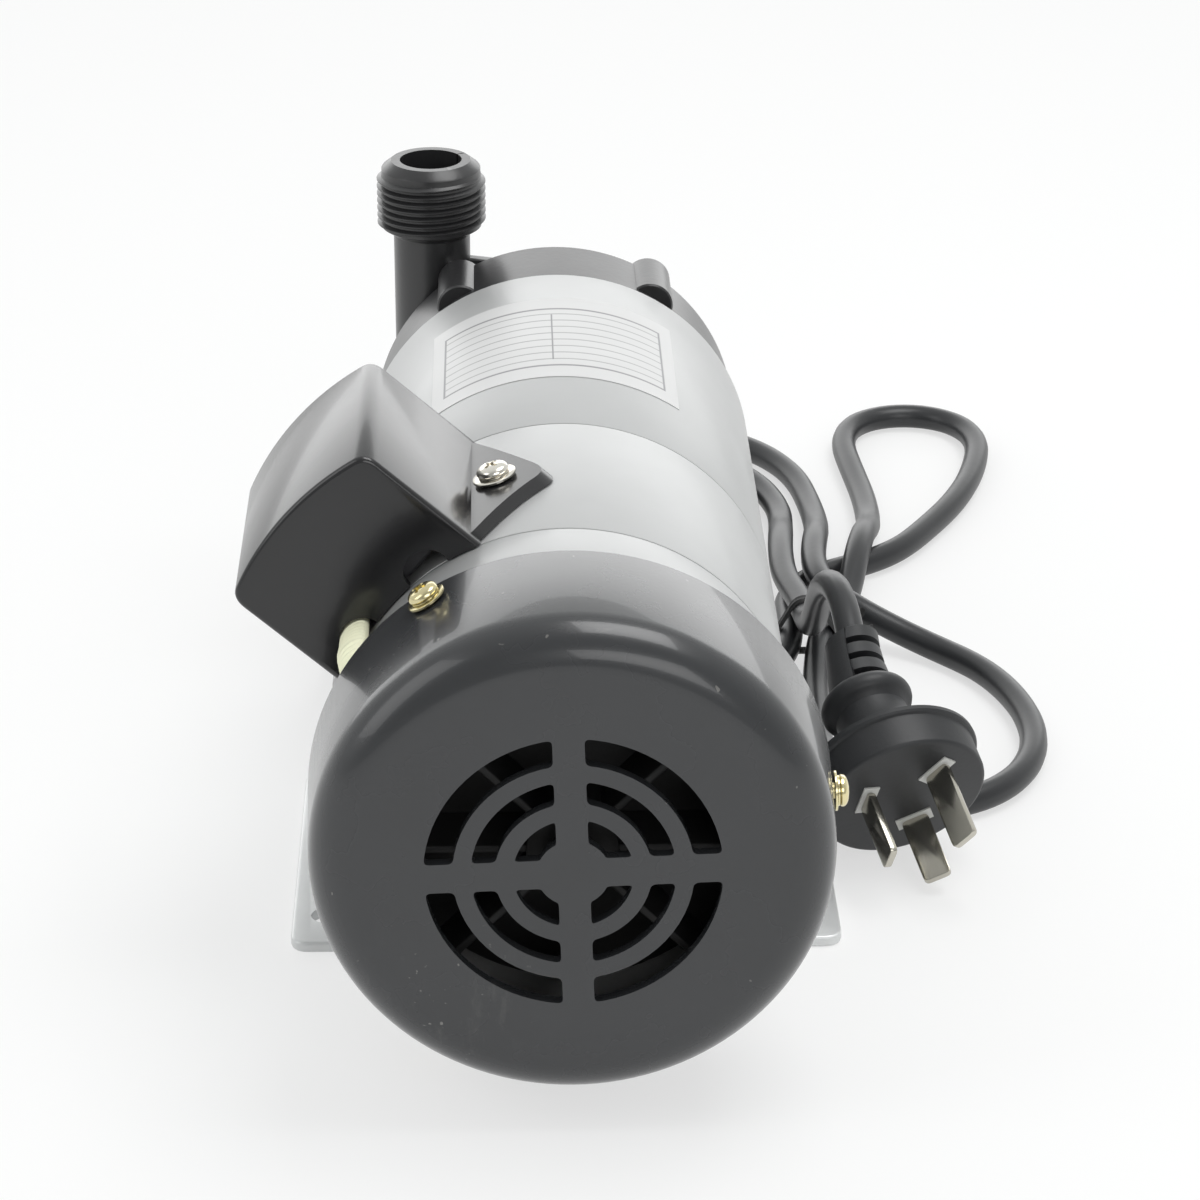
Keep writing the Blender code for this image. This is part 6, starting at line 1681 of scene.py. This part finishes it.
    def sleeve(self, clearance: float, ribbed: bool) -> bpy.types.Mesh:
        """Return the leads' flat sleeve, which leaves the box by a notch and dips into the bell.

        Args:
            clearance: how much thicker it is made, as a cutter.
            ribbed: whether its size swells and narrows along its length, as a corrugated one does.

        Returns:
            The sleeve's mesh.
        """
        lane = self.notches[1] + 0.4 * MM
        top = math.sqrt((BODY_RADIUS + 2.9 * MM) ** 2 - lane * lane)
        dip = self.y - 19.0 * MM
        route = np.array([(top, self.y + 3.6 * MM), (top, self.y - 3.0 * MM),
                          (top + 0.3 * MM, self.y - 8.0 * MM), (top - 0.9 * MM, dip + 5.0 * MM),
                          (top - 3.4 * MM, dip + 1.6 * MM), (top - 7.5 * MM, dip),
                          (top - 10.5 * MM, dip - 0.4 * MM)])
        high, station = evened(route, 180, 6).T
        path = np.column_stack((np.full_like(high, lane), high, station))
        marks = np.linspace(0.0, lengths_along(route)[-1], len(path))
        swell = 0.05 * np.sin(marks * TURN / (1.5 * MM)) - 0.04
        size = 1.0 + swell if ribbed else np.ones_like(marks)
        section = oval(7.7 * MM + 2 * clearance, 4.4 * MM + 2 * clearance, 32)
        return moved(swept(path, np.array((1.0, 0.0, 0.0)), section, size), self.frame())


# Foot

@dataclass
class MotorFoot:
    """The cast foot: a slotted plate, two webs and the saddle under the shell."""

    bench: Bench
    width: float = 118.0 * MM
    length: float = 80.0 * MM
    plate: float = 2.5 * MM
    saddle: float = 2.7 * MM
    web_inner: float = 14.0 * MM
    web: float = 3.0 * MM
    slot_x: float = 50.0 * MM
    slot_y: float = 28.0 * MM

    def build(self) -> None:
        """Make the foot and its screws."""
        self.bench.piece("foot_casting", self.casting(), FOOT_GREY, "motor_foot")
        seat = BODY_RADIUS + GAP + self.saddle + GAP
        ScrewSet(self.bench).place("foot_screw", seat, 5.6 * MM, foot_screws(), ZINC_STEEL)

    def casting(self) -> bpy.types.Mesh:
        """Return the foot's mesh."""
        x, y = self.width / 2, self.length / 2
        corners = np.array([(-x, -y), (x, -y), (x, y), (-x, y)])
        base = prism(softened(corners, 4.2 * MM, 8), eased(0.0, self.plate, 0.7 * MM))
        seat = BODY_RADIUS + GAP
        depth = self.length - 4.0 * MM
        ring = moved(ring_of(-depth / 2, depth / 2, seat, seat + self.saddle, FINE), lying())
        reach = 2 * (seat + self.saddle) * math.sin(math.radians(32.0))
        span = box_mesh((reach, depth + 2.0 * MM, 40.0 * MM), (0.0, 0.0, AXIS_HEIGHT - seat - self.saddle))
        strip = carved(ring, (Op.KEEP, span))
        low, lane = self.plate - 0.5 * MM, self.web_inner + self.web / 2
        high = AXIS_HEIGHT - math.sqrt(seat ** 2 - (self.web_inner + self.web) ** 2) + 1.0 * MM
        size, middle = (self.web, depth - 0.6 * MM, high - low), (high + low) / 2
        webs = together([box_mesh(size, (s * lane, 0.0, middle)) for s in (-1.0, 1.0)])
        slots = copies(self.slot(), [Matrix.Translation((sx * self.slot_x, sy * self.slot_y, 0.0))
                                     for sx in (-1.0, 1.0) for sy in (-1.0, 1.0)])
        body = moved(rod(-self.length, self.length, seat, FINE), lying())
        return carved(base, (Op.CUT, slots), (Op.ADD, strip), (Op.ADD, webs), (Op.CUT, body),
                      (Op.CUT, shell_drills(foot_screws())))

    def slot(self) -> bpy.types.Mesh:
        """Return a cutter for one slot with round ends."""
        radius, run = 3.25 * MM, 1.75 * MM
        outline = path_of(arc((run, 0.0), radius, -math.pi / 2, math.pi / 2, 17),
                          arc((-run, 0.0), radius, math.pi / 2, 1.5 * math.pi, 17))
        return prism(outline, [(-5.0 * MM, 0.0), (8.0 * MM, 0.0)])


# Pump head

@dataclass
class PumpHead:
    """The rear casing with its can, and the front casing with its two threaded ports."""

    bench: Bench
    radius: float = 43.7 * MM
    nose: float = 39.6 * MM
    port_bore: float = 7.5 * MM
    port_rim: float = 9.6 * MM
    port_ring: float = 12.0 * MM
    thread_core: float = 12.1 * MM
    thread_crest: float = 13.2 * MM
    thread_length: float = 13.4 * MM
    pitch: float = 1.814 * MM
    port_y: float = 135.0 * MM
    outlet_x: float = -29.6 * MM
    outlet_rise: float = 61.9 * MM
    inlet_y: float = 183.0 * MM
    boss: float = 5.5 * MM
    boss_start: float = 105.0 * MM
    boss_end: float = 124.0 * MM
    sink: float = 4.3 * MM
    sink_depth: float = 4.0 * MM

    def build(self) -> None:
        """Make the head's pieces."""
        self.bench.piece("front_casing_moulding", self.front(), HOUSING_PLASTIC, "front_casing")
        self.bench.piece("rear_casing_moulding", self.rear(), HOUSING_PLASTIC, "rear_casing")
        self.bench.piece("outlet_thread", self.thread(self.outlet_rise, self.at_outlet()), HOUSING_PLASTIC)
        self.bench.piece("inlet_thread", self.thread(self.inlet_y, lying()), HOUSING_PLASTIC)
        screws = ScrewSet(self.bench, shank=1.9 * MM)
        screws.place("casing_screw", self.boss_end - 0.1 * MM, 39.6 * MM, casing_screws(), ZINC_STEEL)

    def at_outlet(self) -> Matrix:
        """Return the outlet's place."""
        return Matrix.Translation((self.outlet_x, self.port_y, AXIS_HEIGHT))

    def thread(self, end: float, place: Matrix) -> bpy.types.Mesh:
        """Return the thread below a port's rim.

        Args:
            end: how far along its axis the port's rim is.
            place: the port's place.

        Returns:
            The thread's mesh.
        """
        high = end - 2.6 * MM
        low = high - self.thread_length - 1.2 * MM
        core = self.thread_core - 0.35 * MM
        return moved(helix_ridge(core, self.thread_crest, low, high, self.pitch), place)

    def port(self, start: float, end: float, root: float) -> Array:
        """Return a port's outer profile.

        Args:
            start: where its root is.
            end: where its rim is.
            root: the radius at its root.

        Returns:
            The profile, as (axial, radial).
        """
        ring = end - 2.0 * MM
        thread_end = ring - 1.5 * MM
        thread = thread_end - self.thread_length
        return path_of((start, root), (thread - 1.6 * MM, root), (thread - 1.0 * MM, root + 0.5 * MM),
                       (thread, self.thread_core - 0.6 * MM), (thread + 0.4 * MM, self.thread_core),
                       (thread_end, self.thread_core), (thread_end + 0.3 * MM, self.port_ring),
                       (ring, self.port_ring), (ring + 0.4 * MM, self.port_ring - 0.3 * MM),
                       (end - 0.3 * MM, self.port_rim + 0.4 * MM), (end, self.port_rim))

    def front(self) -> bpy.types.Mesh:
        """Return the front casing."""
        start, nose_y, nose_end = 101.3 * MM, 123.0 * MM, 145.0 * MM
        shoulder = arc((nose_end - 8.0 * MM, self.nose - 10.5 * MM), 8.0 * MM, math.pi / 2, 0.0, 14)
        outer = path_of((start, 0.0), (start, self.radius - 0.3 * MM), (start + 0.3 * MM, self.radius),
                        (nose_y - 0.6 * MM, self.radius), (nose_y, self.radius - 0.6 * MM),
                        (nose_y, self.nose + 0.6 * MM), (nose_y + 0.6 * MM, self.nose), shoulder,
                        (nose_end, 14.6 * MM), (nose_end + 0.6 * MM, 14.0 * MM),
                        self.port(nose_end + 2.0 * MM, self.inlet_y, 11.1 * MM), (self.inlet_y, 0.0))
        body = moved(lathe(outer), lying())
        riser = path_of((0.0, 0.0), self.port(0.0, self.outlet_rise, 9.3 * MM), (self.outlet_rise, 0.0))
        inner, outer_x, low = self.outlet_x + 4.0 * MM, -9.0 * MM, 15.0 * MM
        web = np.array([(inner, low), (outer_x, low), (outer_x, 35.6 * MM), (inner, 37.6 * MM)])
        stand = Matrix.Translation((0.0, self.port_y, AXIS_HEIGHT)) @ Matrix.Rotation(math.pi / 2, 4, "X")
        gusset = moved(prism(web, eased(-1.5 * MM, 1.5 * MM, 0.4 * MM)), stand)
        low, high, edge = self.boss_start, self.boss_end, 0.4 * MM
        boss = lathe(path_of((low, 0.0), (low, self.boss - edge), (low + edge, self.boss),
                             (high - edge, self.boss), (high, self.boss - edge), (high, 0.0)), 48)
        hole = rod(low - 5.0 * MM, high + 2.0 * MM, CASING_HOLE, COARSE)
        sink = rod(high - edge, high - edge + self.sink_depth, self.sink, 32)
        bore = rod(-2.0 * MM, self.outlet_rise + 2.0 * MM, self.port_bore, 96)
        places = casing_screws()
        return carved(body, (Op.ADD, moved(lathe(riser), self.at_outlet())), (Op.ADD, gusset),
                      (Op.ADD, copies(boss, places)), (Op.CUT, self.hollow()),
                      (Op.CUT, moved(bore, self.at_outlet())), (Op.CUT, copies(hole, places)),
                      (Op.CUT, copies(sink, places)), (Op.ADD, self.spider()))

    def hollow(self) -> bpy.types.Mesh:
        """Return the inside of the front casing: the skirt's seat, the chamber, the eye and the bore."""
        rebate, volute, throat = 38.5 * MM, 31.0 * MM, 10.0 * MM
        start, step, chamber, end, eye = 99.3 * MM, 104.1 * MM, 126.3 * MM, 140.3 * MM, 151.0 * MM
        rim = self.inlet_y + 2.0 * MM
        profile = path_of((start, 0.0), (start, rebate), (step, rebate), (step, CAN_SEAT),
                          (chamber, CAN_SEAT), (chamber, volute), (end, volute), (end, throat),
                          (eye, throat), (eye, self.port_bore), (rim, self.port_bore), (rim, 0.0))
        return moved(lathe(profile), lying())

    def spider(self) -> bpy.types.Mesh:
        """Return the three ribs and the hub that hold the spindle's front end."""
        hub = moved(ring_of(141.1 * MM, 150.0 * MM, 3.8 * MM, 5.6 * MM, 48, 0.4 * MM), lying())
        rib = box_mesh((6.0 * MM, 2.0 * MM, 5.9 * MM), (8.0 * MM, 0.0, 145.65 * MM), 0.3 * MM)
        turns = [lying() @ Matrix.Rotation(math.pi / 2 + k * TURN / 3, 4, "Z") for k in range(3)]
        return carved(hub, *[(Op.ADD, twin(rib, turn)) for turn in turns])

    def rear(self) -> bpy.types.Mesh:
        """Return the rear casing: the flange that shows at the joint, the dish and the can."""
        dish, inner, can, can_bore = 35.4 * MM, 33.2 * MM, 22.6 * MM, 20.8 * MM
        can_end, can_floor, dish_start, web, front = 69.8 * MM, 72.0 * MM, 93.0 * MM, 123.0 * MM, 126.0 * MM
        flange, flange_end = 96.6 * MM, 101.0 * MM
        socket, socket_bore, socket_end, socket_floor = 5.8 * MM, 3.8 * MM, 78.8 * MM, 72.8 * MM
        corners = np.array([(can_end, can), (web, can), (web, inner), (dish_start, inner),
                            (dish_start, dish), (flange, dish), (flange, self.radius),
                            (flange_end, self.radius),
                            (flange_end, dish), (front, dish), (front, can_bore), (can_floor, can_bore),
                            (can_floor, socket), (socket_end, socket), (socket_end, socket_bore),
                            (socket_floor, socket_bore)])
        profile = path_of((can_end, 0.0), softened(corners, 0.3 * MM, 3)[3:], (socket_floor, 0.0))
        holes = copies(rod(flange - 1.0 * MM, flange_end + 1.0 * MM, CASING_HOLE, COARSE), casing_screws())
        return carved(moved(lathe(profile), lying()), (Op.CUT, holes))


def main() -> None:
    """Make the studio and every piece in order, and log each assembly."""
    logging.basicConfig(level=logging.INFO, format="%(message)s")
    Studio().build()
    bench = Bench()
    for assembly in (MainsLead(bench), MotorHousing(bench), MotorInside(), TerminalBox(bench),
                     MotorFoot(bench), PumpHead(bench)):
        assembly.build()
        LOG.info("%s done", type(assembly).__name__)


if __name__ == "__main__":
    main()
